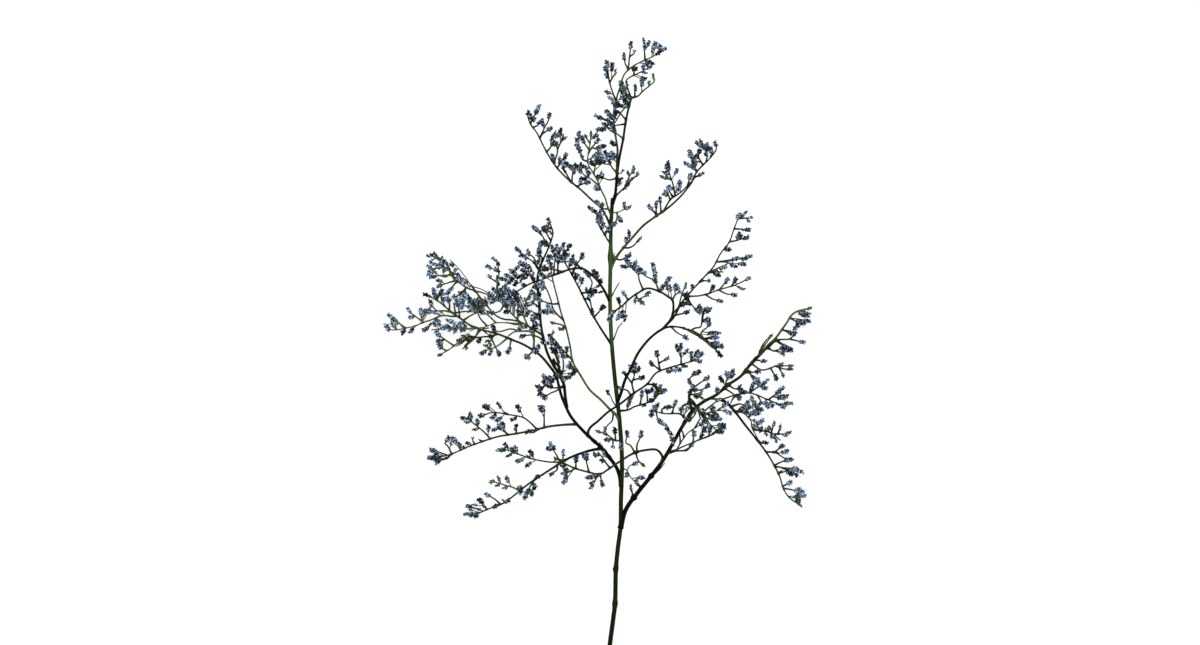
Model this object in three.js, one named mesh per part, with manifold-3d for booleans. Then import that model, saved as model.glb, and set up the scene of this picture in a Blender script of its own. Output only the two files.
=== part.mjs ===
// A dried statice stem, cut and laid on a table: a slender main stem with wiry side sprays, each a
// bough with forking twigs that carry small flared florets. Millimetres, +Z up, +Y towards the tip.
import * as THREE from "three";
import { mergeVertices } from "three/addons/utils/BufferGeometryUtils.js";
import Module from "manifold-3d";

const wasm = await Module();
wasm.setup();

// The plant is drawn flat on a sheet, in millimetres: x to the right and y down from the sheet's
// top left corner. The part's origin is the sheet's middle, on the table.
const sheetMiddle = { x: 598.39, y: 386.9 };

// Driving dimensions
const stemRadius = [2.45, 1.9]; // foot and top
const stemSides = 8;
const boughSides = 4;
const twigSides = 3;
const stoutBough = 1.45; // boughs at least this thick at the root have boughSides, others twigSides
const twigRadius = [0.75, 0.6]; // root and tip
const floret = { radius: 2.9, length: 9, crown: 2.6, past: 4.2, apart: 9 };
const bud = { radius: 1.7, length: 7, crown: 2.4, past: 3.4, apart: 5 };
const stalkReach = 7; // a floret further than this from its twig has a stalk of its own
const endReach = 7; // a floret this close to a strand's end grows from the end itself
const standOff = 3; // florets drawn on a twig stand this far above or below it
const leanBack = 0.9; // a floret's root lies this share of its reach further back along its twig
const onwardPull = 2; // how much a floret turns to its twig's own direction
const straightness = 0.9; // strands leave out corners that stray less than this
const lowestTwig = 1; // height of the lowest twig's middle above the table
const lowestFloret = 1.3; // florets lower than their radius are pressed flat by the table
const lowestTip = 0.4;
const seatGap = 0.3; // clearance between a spray's root and the bough that carries it
const knobGap = 1.5 * seatGap; // faceted knobs need more to keep that clearance on their faces
const knobStretch = 1.5; // knobs are longer along the stem than across it
const tableSize = 1000;
const tableDepth = 40;

const colours = { stem: "#3f5a34", spray: "#6c86b8" };

// Main stem, foot to tip, as "x,y,height" points on the sheet.
const stemRoute =
  "604,737,2.1 605,705,3.2 607,675,4.7 610,645,6.5 613,622,8.5 615,605,10 616,569,14 618,548,16.5 " +
  "620.5,528,19 621,500,22.5 622,460,27.5 619.5,420,32 615,380,36 611.5,340,39 610,300,41.5 " +
  "610.5,260,43.5 611,225,44.5 612.5,198,45";

// Joints where leaves once grew: place on the sheet, height and radius.
const stemKnobs = [
  { x: 614.6, y: 569, height: 14, radius: 2.9 },
  { x: 616.2, y: 605, height: 10, radius: 3.1 },
  { x: 611.6, y: 257, height: 43.6, radius: 3.1 },
];

// Small shoots that grow straight from the stem.
const stemShoots = {
  rise: [0, 0.2],
  boughs: [
    { radius: twigRadius, route: "610.3,299,41.5 616,288,44 619,283,45" },
    { radius: twigRadius, route: "611.7,344,38.7 615,336,41 618,328,43 622,323,44" },
    { radius: twigRadius, route: "617.6,408,33 613,402,32 611,397,31 608,393,30.5" },
    { radius: twigRadius, route: "622,453,28.3 621,448,35" },
  ],
  twigs: [],
  tufts: "621,447",
  darkTufts: "",
  buds: "608,392",
};

// Each spray: the bough that seats it, how its twigs leave the sheet (rise per mm of reach, low and
// high), its boughs with root and tip radius, its twigs, and its florets. A twig's height follows
// from where it forks off unless its points give one.
const sprays = [
  {
    name: "crown_spray",
    seat: "main_stem",
    rise: [-0.35, 0.5],
    boughs: [
      {
        radius: [1.5, 1.05],
        route: "612.5,204,45 615,196,46 617,175,47 619,160,47 623,140,46 626,120,45 631,98,43",
      },
      {
        radius: [1.2, 0.7],
        route:
          "617,174,47 617,160,49 617.5,150,51 615,133,53 613.5,115,53 617,97,51 621,85,48 624,75,46 " +
          "632,67,44 641,62,43 652,57,42 663,50,40",
      },
    ],
    twigs: [
      "631,98 638,96 643,91 648,87 654,82",
      "631,98 627,86 626,81 629,78 638,73.5 643,71.5",
      "635,98 635,87",
      "628,70 629,62 630.5,48",
      "630,57 634,54",
      "628,70 625,63 624,58",
      "645,60 644.5,52 644,42",
      "615,101 612,91 609,81 608,75",
      "610,83 615,74",
      "614,128 608,122 602,118",
      "614,131 607,128 602,130",
      "623.5,139 615.5,133,53",
      "624.5,124 614.5,126,53",
      "629,107 625,108 621,113 615,123,53",
      "625.5,120 619,112",
      "615,197 622,190 631,181 637,175",
      "627,185 629,177 633,171",
      "617,173 613,169 610,165,44 604,164,42",
      "617,178 610,180,44 603,178,42",
    ],
    tufts:
      "642,82 643,78 621,84 625,88 621,91 626,95 622,98 625,102 643,67 645,65 649,68 630.5,46 " +
      "624,57 645,48 648,44 653,49 655,45 660,48 663,50 658,53 647,62 651,63 607,77 606,70 607,64 612,67 " +
      "611,99 608,93 608,113 610,117 609,122 606,126 611,125 604,129 598,117 602,119 615,114 613,118 " +
      "619,181 627,184 633,170 611,157 606,154 613,155 615,157 609,161",
    darkTufts: "634,69 620,106 617,106 600,130 613,144 600,177",
    buds: "635.5,89 649,83 653,76 645,73 634,53 643.5,40 615,72 628,173 637,174",
  },
  {
    name: "upper_left_spray",
    seat: "main_stem",
    rise: [-0.4, 0.35],
    boughs: [
      {
        radius: [1.2, 0.7],
        route:
          "610.8,227,44.4 606,216,43.5 600,207,43 594,202,42 580,189,40 570,181,38 558,169,36 549,156,33 " +
          "543,145,31 537,133,29 530,123,27 527.5,115,26 528,110,25",
      },
    ],
    twigs: [
      "577,186 585,183",
      "572,182 573,169",
      "571,181 565,171 563,166",
      "557,168 561,162 566,155",
      "554,163 556,157 557.5,151 556,143",
      "557,149 561,142 565,138",
      "546,152 551,146 552,137",
      "540,138 542,133 545,126 548,121 549,116",
      "542,134 549,129",
      "533,127 538,125",
      "530,124 532,119 537,110",
    ],
    tufts:
      "581,180 585,180 587,183 571,168 573,168 564,165 566,165 560,161 563,163 565,156 554,142 560,132 " +
      "552,144 553,157 549,116 542,122 549,129 538,124 536,111 538,107 533,119 528,113 530,117",
    darkTufts: "",
    buds: "574,173 557,134 565,138 552,137",
  },
  {
    name: "left_shoot_spray",
    seat: "main_stem",
    rise: [0, 0.5],
    boughs: [
      {
        radius: [0.9, 0.6],
        route:
          "611.2,216,44.7 608,208,48 605,198,50 601,190,52 597,180,54 593,173,55 588,164,56 588,156,57 " +
          "590,145,58 591,135,58",
      },
    ],
    twigs: [
      "600,187 592,180 587,177 583,174 581,169",
      "594,174 595,168 595.5,163",
      "587,162 583,160 581,156",
      "582,159 580,151 577,143",
      "589,150 584,143",
      "590,144 586,138",
      "589,154 592,148 597,142",
      "592,148 597,150 600,152",
      "608,209 604,209 600,206",
    ],
    tufts:
      "577,167 581,167 586,168 588,173 581,172 597,189 592,164 596,164 601,161 605,161 582,157 580,152 " +
      "578,147 577,142 583,140 579,136 597,142 600,153 599,156 602,147 594,156 597,158 595,137 598,203 " +
      "603,206",
    darkTufts: "",
    buds: "600,147 591,134",
  },
  {
    name: "top_sprig",
    seat: "main_stem",
    rise: [0.1, 0.4],
    boughs: [{ radius: [0.6, 0.5], route: "611.8,213,44.8 619,212,46 624,209,47" }],
    twigs: ["617,212 617,218,51 615,224,53"],
    tufts: "624,205 628,208 618,217 614,224 620,220",
    darkTufts: "",
    buds: "",
  },
  {
    name: "small_left_spray",
    seat: "main_stem",
    rise: [0.1, 0.4],
    boughs: [{ radius: [0.9, 0.6], route: "610.8,244,43.9 607,239,47 605,235,50 602,230,52 599,225,53" }],
    twigs: ["605,235 608,230,54", "599,225 598,217 595,211"],
    tufts: "598,222 600,220 598,216 603,226 600,213 595,212 591,209 608,229",
    darkTufts: "",
    buds: "",
  },
  {
    name: "upper_right_spray",
    seat: "main_stem",
    rise: [-0.4, 0.4],
    boughs: [
      {
        radius: [1.4, 0.75],
        route:
          "610.3,270,43 612.3,265,43.6 615.5,258.5,45 620,252,46.5 625,246,48 633,237,50 643,226,52 " +
          "655,217,52 668,208,50 680,197,47 686,190,45 692,182,43 696,173,41 703,165,39 710,158,37 " +
          "716,150,35 716.5,146,34",
      },
    ],
    twigs: [
      "663,211 671,199 680,193 692,181",
      "657,216 651,209",
      "656,216 656,206",
      "661,213 660,201",
      "670,200 668,194",
      "675,196 673,185 670,176 668,170",
      "688,186 690,177",
      "694,178 701,174",
      "697,172 693,165 690,155",
      "703,165 699,158 698,152",
      "706,161 707,153 702,145",
      "624,248 628,248 633,246 638,241",
      "615.5,258.5 620,260 624,258.5 628,255.5",
    ],
    tufts:
      "656,205 660,200 666,195 668,190 670,188 667,168 676,172 677,191 680,184 695,165 693,160 690,153 " +
      "697,158 699,153 691,166 687,164 706,155 708,150 707,147 711,150 703,147 701,143 698,144 715.5,144 " +
      "701,174 690,177 650,208 626,241 629,234 628,256",
    darkTufts: "668,165",
    buds: "664,173 662,177 667,178 640,239",
  },
  {
    name: "right_middle_spray",
    seat: "main_stem",
    rise: [-0.35, 0.45],
    boughs: [
      {
        radius: [1.6, 0.9],
        route:
          "617.2,402,34 621,393,41 625,380,48 630,370,53 638,353,58 649,339,62 656,333,64 663,328,65 " +
          "671,318,67 673,310,68 672,300,69 668,297,69 660,292,69 647,288.5,69 638,293,68 628,300,66 " +
          "622,306,64 613,312,61",
      },
      {
        radius: [1.05, 0.65],
        route:
          "665,326,65.5 673,318,66 682,302,67 692,290,67 703,278,66 713,267,64 720,254,62 729,242,59 " +
          "733,231,57 738,218,54",
      },
      { radius: [1.05, 0.65], route: "657,332,64 668,327,63 683,328,62 697,335,60 709,342,57 719,354,52" },
    ],
    twigs: [
      "643,290 639,280 638,275 634,270",
      "637,272 629,264",
      "659,291 654,281 645,276 641,272",
      "672,300 675,295 679,292",
      "636,295 638,299 645,296",
      "628,300 624,294",
      "620,307 619,301",
      "738,219 744,218.5 750,218",
      "734,229 747,230",
      "729,242 735,241 745,238",
      "716,262 723,262 730,261",
      "708,273 716,269 727,264",
      "701,281 706,281",
      "687,297 698,296 707,294 718,290 735,285 747,279",
      "709,293 712,288",
      "719,289 726,281",
      "731,286 734,281",
      "718,290 726,294 733,295",
      "705,295 712,299 719,301",
      "673,314 678,307 680,300 682,293 685,286",
      "687,297 690,303 694,308",
      "690,331 695,328 700,327 703,316 705,308",
      "700,336 702,331 706,328 709,325",
      "671,328 676,332 685,337",
    ],
    tufts:
      "638,273 635,265 633,268 641,271 628,262 624,267 653,266 654,271 655,277 655,281 662,288 667,287 " +
      "670,289 675,287 678,290 668,280 647,294 641,302 624,294 619,301 622,315 625,318 618,317 611,313 " +
      "610,318 747,230 745,238 738,236 727,250 735,259 744,259 748,257 742,264 733,266 717,275 723,267 " +
      "706,281 712,288 726,281 734,281 747,279 733,295 719,301 739,216 692,288 684,295 " +
      "686,298 688,302 682,305 686,312 698,311 700,308 708,310 708,322 706,320 713,333 716,333 714,338 " +
      "716,343 720,346 685,337",
    darkTufts: "719,354",
    buds: "635,301 742,289 745,213 750,218 748,221 685,285",
  },
  {
    name: "crossing_right_spray",
    seat: "left_branch_spray",
    rise: [-0.2, 0.15],
    boughs: [
      {
        radius: [1.4, 0.75],
        route:
          "593,441,23.8 588,434,30 590,428,35 598,421,40 608,412,43 620,404,44 634,393,45.5 647,384,47 " +
          "656,373,48 668,368,48 682,364,47 696,360,46",
      },
    ],
    twigs: [
      "634,393 632,383,44 634,377,43 635,371,42",
      "632,383 625,374,43",
      "633,380 641,378,43",
      "631,396 628,391 620,388,46",
      "647,384 654,385 660,390",
      "660,371 659,365 657,354",
      "660,363 666,359",
      "659,370 652,364",
      "681,364 681,353",
      "691,362 691,355",
    ],
    tufts:
      "635,366 631,368 638,370 633,371 625,374 641,378 620,388 654,385 657,354 666,359 652,364 668,371 " +
      "673,370 678,369 683,366 681,347 677,348 686,352 691,355 698,361 700,355 697,353",
    darkTufts: "",
    buds: "660,390",
  },
  {
    name: "inner_right_sprig",
    seat: "main_stem",
    rise: [-0.35, 0.1],
    boughs: [{ radius: [1, 0.65], route: "618.6,411,33 628,410,32 634,407,31 644,404,30 653,401,29" }],
    twigs: ["640,405 642,395", "648,403 647,393", "653,401 659,393"],
    tufts: "631,398 629,403 643,405 651,401 655,397 656,394 660,388 664,391 651,391 642,394 647,392",
    darkTufts: "",
    buds: "658,391",
  },
  {
    name: "green_left_spray",
    seat: "main_stem",
    rise: [-0.1, 0.35],
    boughs: [
      {
        radius: [1.3, 0.65],
        route:
          "619.6,422,31.8 616,415,35 611,410.5,37.5 601,400,43 590,390,49 581,376,55 573,362,59 570,345,62 " +
          "566,328,64 561,312,66 557,296,68 553,280,69 551,268,69 550,260,69",
      },
    ],
    twigs: [
      "577,370 570,377",
      "572,360 565,352 560,347 556,341 551,336",
      "566,328 562,325 553,323",
      "563,320 557,314 553,308 551,300 548,292 545,286",
      "558,304 552,304 545,302 540,300",
      "613,413 612,421,33 608,425,31 605,429,30",
    ],
    tufts:
      "567,378 573,374 570,367 563,352 560,348 557,345 553,340 551,337 549,343 567,350 565,357 562,329 " +
      "553,311 548,311 545,312 549,307 540,300 605,430 543,283 541,286 542,275",
    darkTufts: "",
    buds: "553,333 553,323",
  },
  {
    name: "stem_left_sprig",
    seat: "main_stem",
    rise: [-0.3, 0],
    boughs: [{ radius: twigRadius, route: "620.8,440,29.8 616,441,27 607,435,24 598,432,22" }],
    twigs: ["616,440 615,432", "613,439 613,445"],
    tufts: "608,440 613,445",
    darkTufts: "615,431",
    buds: "598,432",
  },
  {
    name: "inner_left_spray",
    seat: "main_stem",
    rise: [-0.5, -0.05],
    boughs: [
      {
        radius: [1.2, 0.75],
        route: "611.8,345,38.7 605,335,40 598,324,41 590,310,41 580,290,40 571,273,39 562,258,38",
      },
    ],
    twigs: [
      "572,275 577,264 582,257",
      "582,293 587,292 591,287 592,282 588,275",
      "585,299 589,299 591,305 592,311",
      "594,317 598,313 602,308",
    ],
    tufts:
      "582,256 573,258 571,262 575,264 577,277 582,281 576,277 588,292 590,296 588,275 592,311 602,308",
    darkTufts: "594,292",
    buds: "",
  },
  {
    name: "arch_left_spray",
    seat: "main_stem",
    rise: [0, 0.25],
    boughs: [
      {
        radius: [1.35, 0.75],
        route:
          "610,302,41.4 605,292,46 600,284,50 594,277,53 583,269,56 572,269,58 560,273,58 550,276.5,58 " +
          "538,281,57 531,283.5,56 523,288,54.5 518,291,53.5 510,297,52 505,300,51",
      },
    ],
    twigs: [
      "558,274 558,266 560,250",
      "554,275 555,262 557,259",
      "563,272 555,270 547,269 539,271",
      "559,262 564,254 569,247",
      "558,258 551,251",
    ],
    tufts:
      "594,273 597,276 601,282 546,269 553,249 558,248 563,246 569,247 564,254 566,256 563,259 550,257 " +
      "557,259 514,292 517,297 549,262 511,300",
    darkTufts: "525,285",
    buds: "",
  },
  {
    name: "left_branch_spray",
    seat: "main_stem",
    rise: [-0.35, 0.25],
    boughs: [
      {
        radius: [1.95, 0.7],
        route:
          "621.3,487,24 619.5,476,21.5 616,467,21 611,460,21.5 605,452,22.5 598,445,23.5 583,431,24.5 " +
          "571,417,24.5 565,405,24 561,395,23.3 558.5,385,22.5 555.5,375,22 550,367,21 543,358.5,20 " +
          "537,353,19 522,344,17 512,340,16 500,335,14.5 490,332,13.5 480,329.5,12.5 470,325.5,11.2 " +
          "460,318.5,10 450,311.5,8.5 440,303,7.3 430,297,6 424,295,5",
      },
      {
        radius: [0.9, 0.6],
        route:
          "497,334,14 492,336,13.8 484,336.8,13 476,337.5,12 470,336.5,11 463,338.5,10 458,342,9 " +
          "452,347,8 446,351,7 437,356,5.5",
      },
    ],
    twigs: [
      "533,351 527,357",
      "533,350 533.5,341 531,331",
      "511,339 509,349",
      "507,338 500,344 493,348 487,350",
      "490,335.8 494,345 498,353",
      "453,345.5 446,341 438,335",
      "446,351 442,349 439,347",
      "451,312 443,310.7 436,310.5 431,306",
      "448.5,310.5 448.5,303 446,298",
      "459,317.5 458,308 457,302",
      "474,328 467,329 458,327 448,328 431,330",
      "437,300 433,293",
    ],
    tufts:
      "537,348 536,353 531,331 527,357 508,351 482,353 490,353 498,353 606,456 601,449 437,334 439,341 " +
      "439,346 433,291 440,292 435,296 430,303 444,299 448,301 454,298 457,304 433,312 443,328 448,327 " +
      "452,322 457,327 461,323 463,330 490,336",
    darkTufts: "426,295 493,328 479,340",
    buds: "485,346 438,355 447,320 454,332 468,335 463,338",
  },
  {
    name: "left_upright_spray",
    seat: "left_branch_spray",
    rise: [0.05, 0.5],
    boughs: [
      {
        radius: [1.6, 0.8],
        route:
          "566.5,407.5,24.2 565.3,398,28 564.3,388,31 562,379,33 557,371,34.5 551,361,35.5 547,352,36 " +
          "543.5,339,37 541,325,38 540,312,39 539.5,300,40 538,285,41 539,272,42 543,260,44 " +
          "548,249,46 551,241,47 553,233,48 551,226,49 549,221,50",
      },
    ],
    twigs: [
      "562,387 553,388 545,386 540,388",
      "562,389 556,391 551,393 546,396",
      "559,378 552,380 545,378",
      "558,374 558,362 556,352",
      "544,341 538,337 531,335 523,336",
      "549,247 543,237 540,231",
      "551,241 545,231",
      "538,270 532,261 524,256",
      "538,268 534,258 529,254",
      "543,260 539,252",
      "538,288 533,281 530,275 527,268 521,265",
      "530,275.5 523,275 516,277.5 508,280",
      "539.8,313.5 536,313.5 533,312",
    ],
    tufts:
      "559,376 545,377 545,383 551,380 551,387 539,387 541,394 546,397 535,228 545,229 549,228 549,221 " +
      "540,247 539,252 523,256 529,253 518,250 556,351 503,279 508,276 513,272 517,268 522,265 526,265 " +
      "524,271 510,282 516,283 533,321 537,317 535,327 538,262 534,281 536,288 535,295",
    darkTufts: "523,336 544,243 524,277 539,295",
    buds: "",
  },
  {
    name: "left_mass_spray",
    seat: "left_upright_spray",
    rise: [-0.15, 0.4],
    boughs: [
      {
        radius: [1.05, 0.65],
        route:
          "542.6,335,37.4 536,331,38.5 528,326,39.5 520,322,40 512,320,40 503,319,40 496,315.5,40 " +
          "490,309.5,40.5 485,303,42 481,298,44 475,291.5,46.5 468,288,48.5 461,284,49.5 456,281,50 " +
          "452,276.5,49.5 449.5,271,48.5 447.5,262,47",
      },
      {
        radius: [0.75, 0.6],
        route:
          "523,323,39.8 516,324.7,39 508,323,38.5 495,323,37.5 490,325,37 484,327,36 476,328.5,34.5 " +
          "470,331,33",
      },
      {
        radius: [0.85, 0.6],
        route: "520,322,40 514,316,42 509,311,43.5 504,306,45 500,301.5,46 493,301.5,46.5",
      },
      {
        radius: [0.7, 0.55],
        route:
          "500,301.5,46 496,297,48 490,294.5,49.5 484,290.5,51 478,288,52 472,286,53 467,279,54 " +
          "461,271,54 455,264.5,53.5 450.5,260,53",
      },
    ],
    twigs: [
      "497,298 498,283 499,275 498,262,57",
      "498,283 489,277",
      "499,272 489,267",
      "451,275.5 441,275.5 434,277",
      "455,281.5 448,283 441,285.5",
      "457,282 454,285 451,289",
      "449,268 442,268 432,269",
      "448,264 441,259 436,257 430,256",
      "466,289 460,294 454,297.5",
      "487,326 480,318 477,310 475,303",
      "496,323 490,317 485,313 480,307",
      "528,325 525,319.5 523,315 524,308 526,302 531,292",
    ],
    tufts:
      "436,255 440,259 430,256 445,262 442,265 432,263 430,267 431,271 430,273 433,277 446,270 440,281 " +
      "440,286 451,289 453,265 455,272 458,276 463,280 466,282 449,292 461,299 466,297 462,306 470,299 " +
      "473,303 476,306 471,308 479,302 485,302 482,306 474,311 481,312 494,290 491,296 495,299 493,302 " +
      "500,292 504,287 507,291 503,296 508,297 506,302 511,304 515,303 507,312 490,277 489,267 495,260 " +
      "498,264 498,271 498,279 526,305 528,299 531,293 520,328 525,327 492,313",
    darkTufts: "519,312 499,296 527,314",
    buds: "518,316",
  },
  {
    name: "far_left_spray",
    seat: "left_branch_spray",
    rise: [-0.1, 0.4],
    boughs: [
      {
        radius: [0.85, 0.6],
        route:
          "456,316,9.3 451,316.4,10.4 446,315.6,10.8 440,316,10.8 430,320,10 422,322.5,9 414,326,7 " +
          "405,328,5 398,329.5,3.8 391,330,2.6 386,329,1.6",
      },
    ],
    twigs: [
      "422,322 418,319 410,313",
      "421,322.5 420,315",
      "404,328 398,323 391,318",
      "436,317.8 433,322 430,325",
    ],
    tufts:
      "386,328 392,325 389,316 394,320 408,310 411,317 420,311 424,312 428,311 434,322 438,322",
    darkTufts: "403,331 411,330 425,329",
    buds: "",
  },
  {
    name: "lower_left_spray",
    seat: "left_branch_spray",
    rise: [-0.3, 0.4],
    boughs: [
      {
        radius: [1.25, 0.7],
        route:
          "577.5,424.5,24.5 565,425,22 548,427,19 532,431,17 516,434,15 498,437,12 482,442,9 466,448,6.5 " +
          "450,455,4 438,458,3",
      },
    ],
    twigs: [
      "544,428 544,413",
      "537,430 530,423 523,418 508,415 492,413 482,416",
      "516,434 516,429",
      "508,436 504,432 497,429",
      "490,440 484,433 478,428 468,420",
      "474,445 472,441",
      "451,455 447,447 444,444",
      "451,455 446,459 437,462",
      "460,450 455,443",
    ],
    tufts:
      "543,409 540,409 481,416 499,406 518,408 498,420 514,419 493,417 500,428 495,430 488,429 503,425 " +
      "470,419 463,419 470,416 477,423 468,444 458,446 455,442 452,440 447,440 436,460 430,459 436,456 " +
      "432,451 437,463 529,432 516,428",
    darkTufts: "485,408",
    buds: "466,423 474,430 472,440",
  },
  {
    name: "low_left_spray",
    seat: "left_branch_spray",
    rise: [-0.35, 0.35],
    boughs: [
      {
        radius: [1.4, 0.7],
        route:
          "602,449,23.2 594,450,22.8 586,452,22 570,458,20 555,467,17 541,476,14 529,484,12 514,496,9 " +
          "503,504,7 490,509,5 474,516,2.5",
      },
    ],
    twigs: [
      "486,510 480,502",
      "500,505 494,500 487,496",
      "519,491 512,488 505,486 492,482",
      "535,480 531,485 526,495",
      "557,466 557,470 552,474",
    ],
    tufts:
      "476,516 472,515 466,515 468,507 508,501 496,507 538,477 507,480 506,488 520,488 521,492 525,497 " +
      "527,493 531,493 534,487 487,496 552,474",
    darkTufts: "480,502",
    buds: "498,479 491,483 497,486",
  },
  {
    name: "arch_crossing_spray",
    seat: "right_bough_spray",
    rise: [-0.15, 0.45],
    boughs: [
      {
        radius: [1.3, 0.7],
        route:
          "661.5,462.5,34 662.5,457,37 657,450,40 646,450,42 634,453,42.5 622,460,42 610,468,41 600,474,40 " +
          "588,472,39 574,468,37 562,463,35 548,462,33 532,459,31 517,454,29 505,450,27 498,450,26",
      },
    ],
    twigs: [
      "637,452 637,445 641,436",
      "635,453 630,445 626,443 627,436",
      "636,453 638,460 643,465",
      "610,468 606,463 602,457 598,452",
      "589,472 586,460",
      "576,468 576,460",
      "575,468 571,471 567,473",
      "600,474 602,483",
      "598,474 594,483",
      "560,463 557,456 552,448",
      "563,463 563,454",
    ],
    tufts:
      "641,434 627,434 603,461 597,455 584,457 587,457 566,477 564,473 565,481 567,470 593,477 589,477 " +
      "593,482 592,486 602,483 565,466 499,450 503,450 512,450 516,449 506,446 531,453 519,461 528,465 " +
      "551,445 549,449 554,449 563,453",
    darkTufts: "576,459",
    buds: "643,465 508,456 556,459",
  },
  {
    name: "stem_right_sprig",
    seat: "main_stem",
    rise: [-0.3, 0],
    boughs: [
      { radius: [0.65, 0.55], route: "621.8,468,26.6 627,471,25.5 631,478,24.5 638,485,23.5" },
      { radius: [0.6, 0.5], route: "627,471,25.5 630,466,26 635,464,26" },
    ],
    twigs: [],
    tufts: "635,464 627,474 641,478",
    darkTufts: "",
    buds: "636,481 639,486",
  },
  {
    name: "right_bough_spray",
    seat: "main_stem",
    rise: [-0.15, 0.5],
    boughs: [
      {
        radius: [2.4, 1],
        route:
          "620.4,529,19 626,510,22 637,494,26 649,479,30 662,462,34 672,445,37.5 682,427,40 692,411,42 " +
          "703,402,42.5 716,395,42 728,385,40 741,376,37 752,363,32.5 762,353,27 774,341,20 786,325,12 " +
          "795,313,5 811,308,1",
      },
    ],
    twigs: [
      "634,498 631,489",
      "791,318 798,322",
      "783,330 790,332",
      "775,340 783,339.5 790,339 795,335",
      "790,339 802,342",
      "776,341 783,344 787,347",
      "768,347 774,351 783,348",
      "776,351 782,353",
      "759,356 761,349 765,342 771,336",
      "755,360 763,361",
      "752,364 762,370 771,368 776,366 791,366",
      "776,367 784,369 791,369",
      "771,369 776,377",
      "779,368 783,375",
      "744,373 757,372",
      "749,372.5 755,379",
      "725,387 726,382 728,377",
      "729,385 733,388 741,390",
      "724,388 732,393,38 741,400,36",
    ],
    tufts:
      "804,315 808,313 804,312 798,324 803,323 808,321 791,333 795,330 802,342 787,349 784,349 790,349 " +
      "783,348 782,353 763,361 757,372 753,377 756,379 758,382 721,379 727,375 732,372 732,376 717,391 " +
      "780,365 739,389 743,391 738,397",
    darkTufts: "776,377",
    buds: "811,308 795,335 771,336 791,366 791,369 783,375 631,488",
  },
  {
    name: "right_outer_spray",
    seat: "right_bough_spray",
    rise: [-0.1, 0.4],
    boughs: [
      {
        radius: [0.9, 0.65],
        route:
          "710,398.5,42.4 716,399,44.5 722,399,46 735,395,49 750,393,51 764,398,52 776,403,51 783,406,50",
      },
    ],
    twigs: [
      "750,393 750,388 753,384",
      "751,392 756,388 763,384",
      "757,396 761,402",
      "768,400 774,395 780,390",
    ],
    tufts:
      "753,384 762,384 766,381 764,388 764,403 767,405 771,404 777,393 781,389 784,396 780,398 785,404 " +
      "789,403 782,406",
    darkTufts: "",
    buds: "",
  },
  {
    name: "right_low_spray",
    seat: "right_outer_spray",
    rise: [-0.3, 0.35],
    boughs: [
      {
        radius: [1.4, 0.7],
        route:
          "720,399.2,45.5 727,403,41 736,413,37 746,426,32 758,441,25 769,456,18 780,476,11 785,491,7 " +
          "792,500,3 801,506,1",
      },
      { radius: twigRadius, route: "736,412,37 743,413,38 751,421,37 752,427,35 758,439,32 761,444,30" },
    ],
    twigs: [
      "735,411 740,411 750,409",
      "748,418 754,412 758,406",
      "753,430 763,431 771,433 780,440",
      "771,433 774,424",
      "773,434 785,434",
      "778,435 780,428",
      "760,443 768,444",
      "767,452 776,453 784,458 788,460",
      "775,453 782,447",
      "775,466 781,463 787,461",
      "776,467 782,468 788,470",
      "779,474 786,472",
      "784,487 790,484",
      "785,489 790,490 795,491",
      "790,498 797,497",
    ],
    tufts:
      "747,404 748,408 743,408 752,399 755,405 759,405 757,410 760,410 757,414 753,413 746,412 756,422 " +
      "761,422 756,426 766,430 760,429 773,435 784,435 788,433 765,443 782,447 786,452 790,460 787,461 " +
      "792,471 796,469 801,472 790,484 799,490 802,492 799,495 804,497",
    darkTufts: "791,474 796,475 797,498 798,502",
    buds: "774,424 793,498 780,427 801,506",
  },
  {
    name: "right_inner_spray",
    seat: "right_bough_spray",
    rise: [0, 0.3],
    boughs: [
      { radius: [0.95, 0.6], route: "686.5,420,41 680,414,45 665,413.5,47 653,411,47" },
      { radius: twigRadius, route: "656,411.5,47 658,419,47 666,427,48 671,437,49 674,446,49" },
    ],
    twigs: ["662,413 662,409 668,407", "672,413.7 674,406"],
    tufts: "652,414 655,408 657,406 675,403 659,420 664,424 667,428 670,433 672,439",
    darkTufts: "668,407",
    buds: "",
  },
  {
    name: "right_cross_spray",
    seat: "right_bough_spray",
    rise: [0.05, 0.4],
    boughs: [
      {
        radius: [1.2, 0.7],
        route: "692.5,410.5,42 689,400,45.5 690,392,47 693,387,48 690,383,48.5 690,378,49 697,373,50",
      },
      { radius: [0.9, 0.6], route: "689,400.5,45.5 695,406,49.5 702,414,51 710,424,50 717,431,49" },
    ],
    twigs: [
      "692,388 701,382 706,379",
      "691,391 703,389 707,386",
      "690,395 701,393",
      "702,413 710,406,53 718,400,54",
      "703,415 713,411,53 722,410,54",
    ],
    tufts:
      "693,374 697,373 689,381 692,386 694,390 690,392 706,379 707,386 722,425 722,428 728,412 712,409 " +
      "725,404 716,415 718,418 711,416 714,419",
    darkTufts: "695,396 720,431",
    buds: "701,392 702,398 718,400",
  },
  {
    name: "right_under_spray",
    seat: "right_bough_spray",
    rise: [-0.4, -0.05],
    boughs: [
      {
        radius: [1, 0.65],
        route: "667.5,453,36 677,451,35.5 687,450,34.5 693,443,34 707,437,32 718,432,31",
      },
      { radius: twigRadius, route: "676,451,35.5 680,444,35 688,433,34 697,427,33 702,424,32.5" },
    ],
    twigs: ["687,450 691,447", "693,443 694,434", "700,440 704,430", "709,436 710,430"],
    tufts: "691,447 694,434 704,430 702,424 718,432 710,430",
    darkTufts: "701,437",
    buds: "",
  },
];

// A repeatable source of chance for how twigs and florets turn.
function makeChance(seed) {
  let state = seed;
  return (low, high) => {
    state = (Math.imul(state, 1664525) + 1013904223) >>> 0;
    return low + ((high - low) * state) / 4294967296;
  };
}

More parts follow.
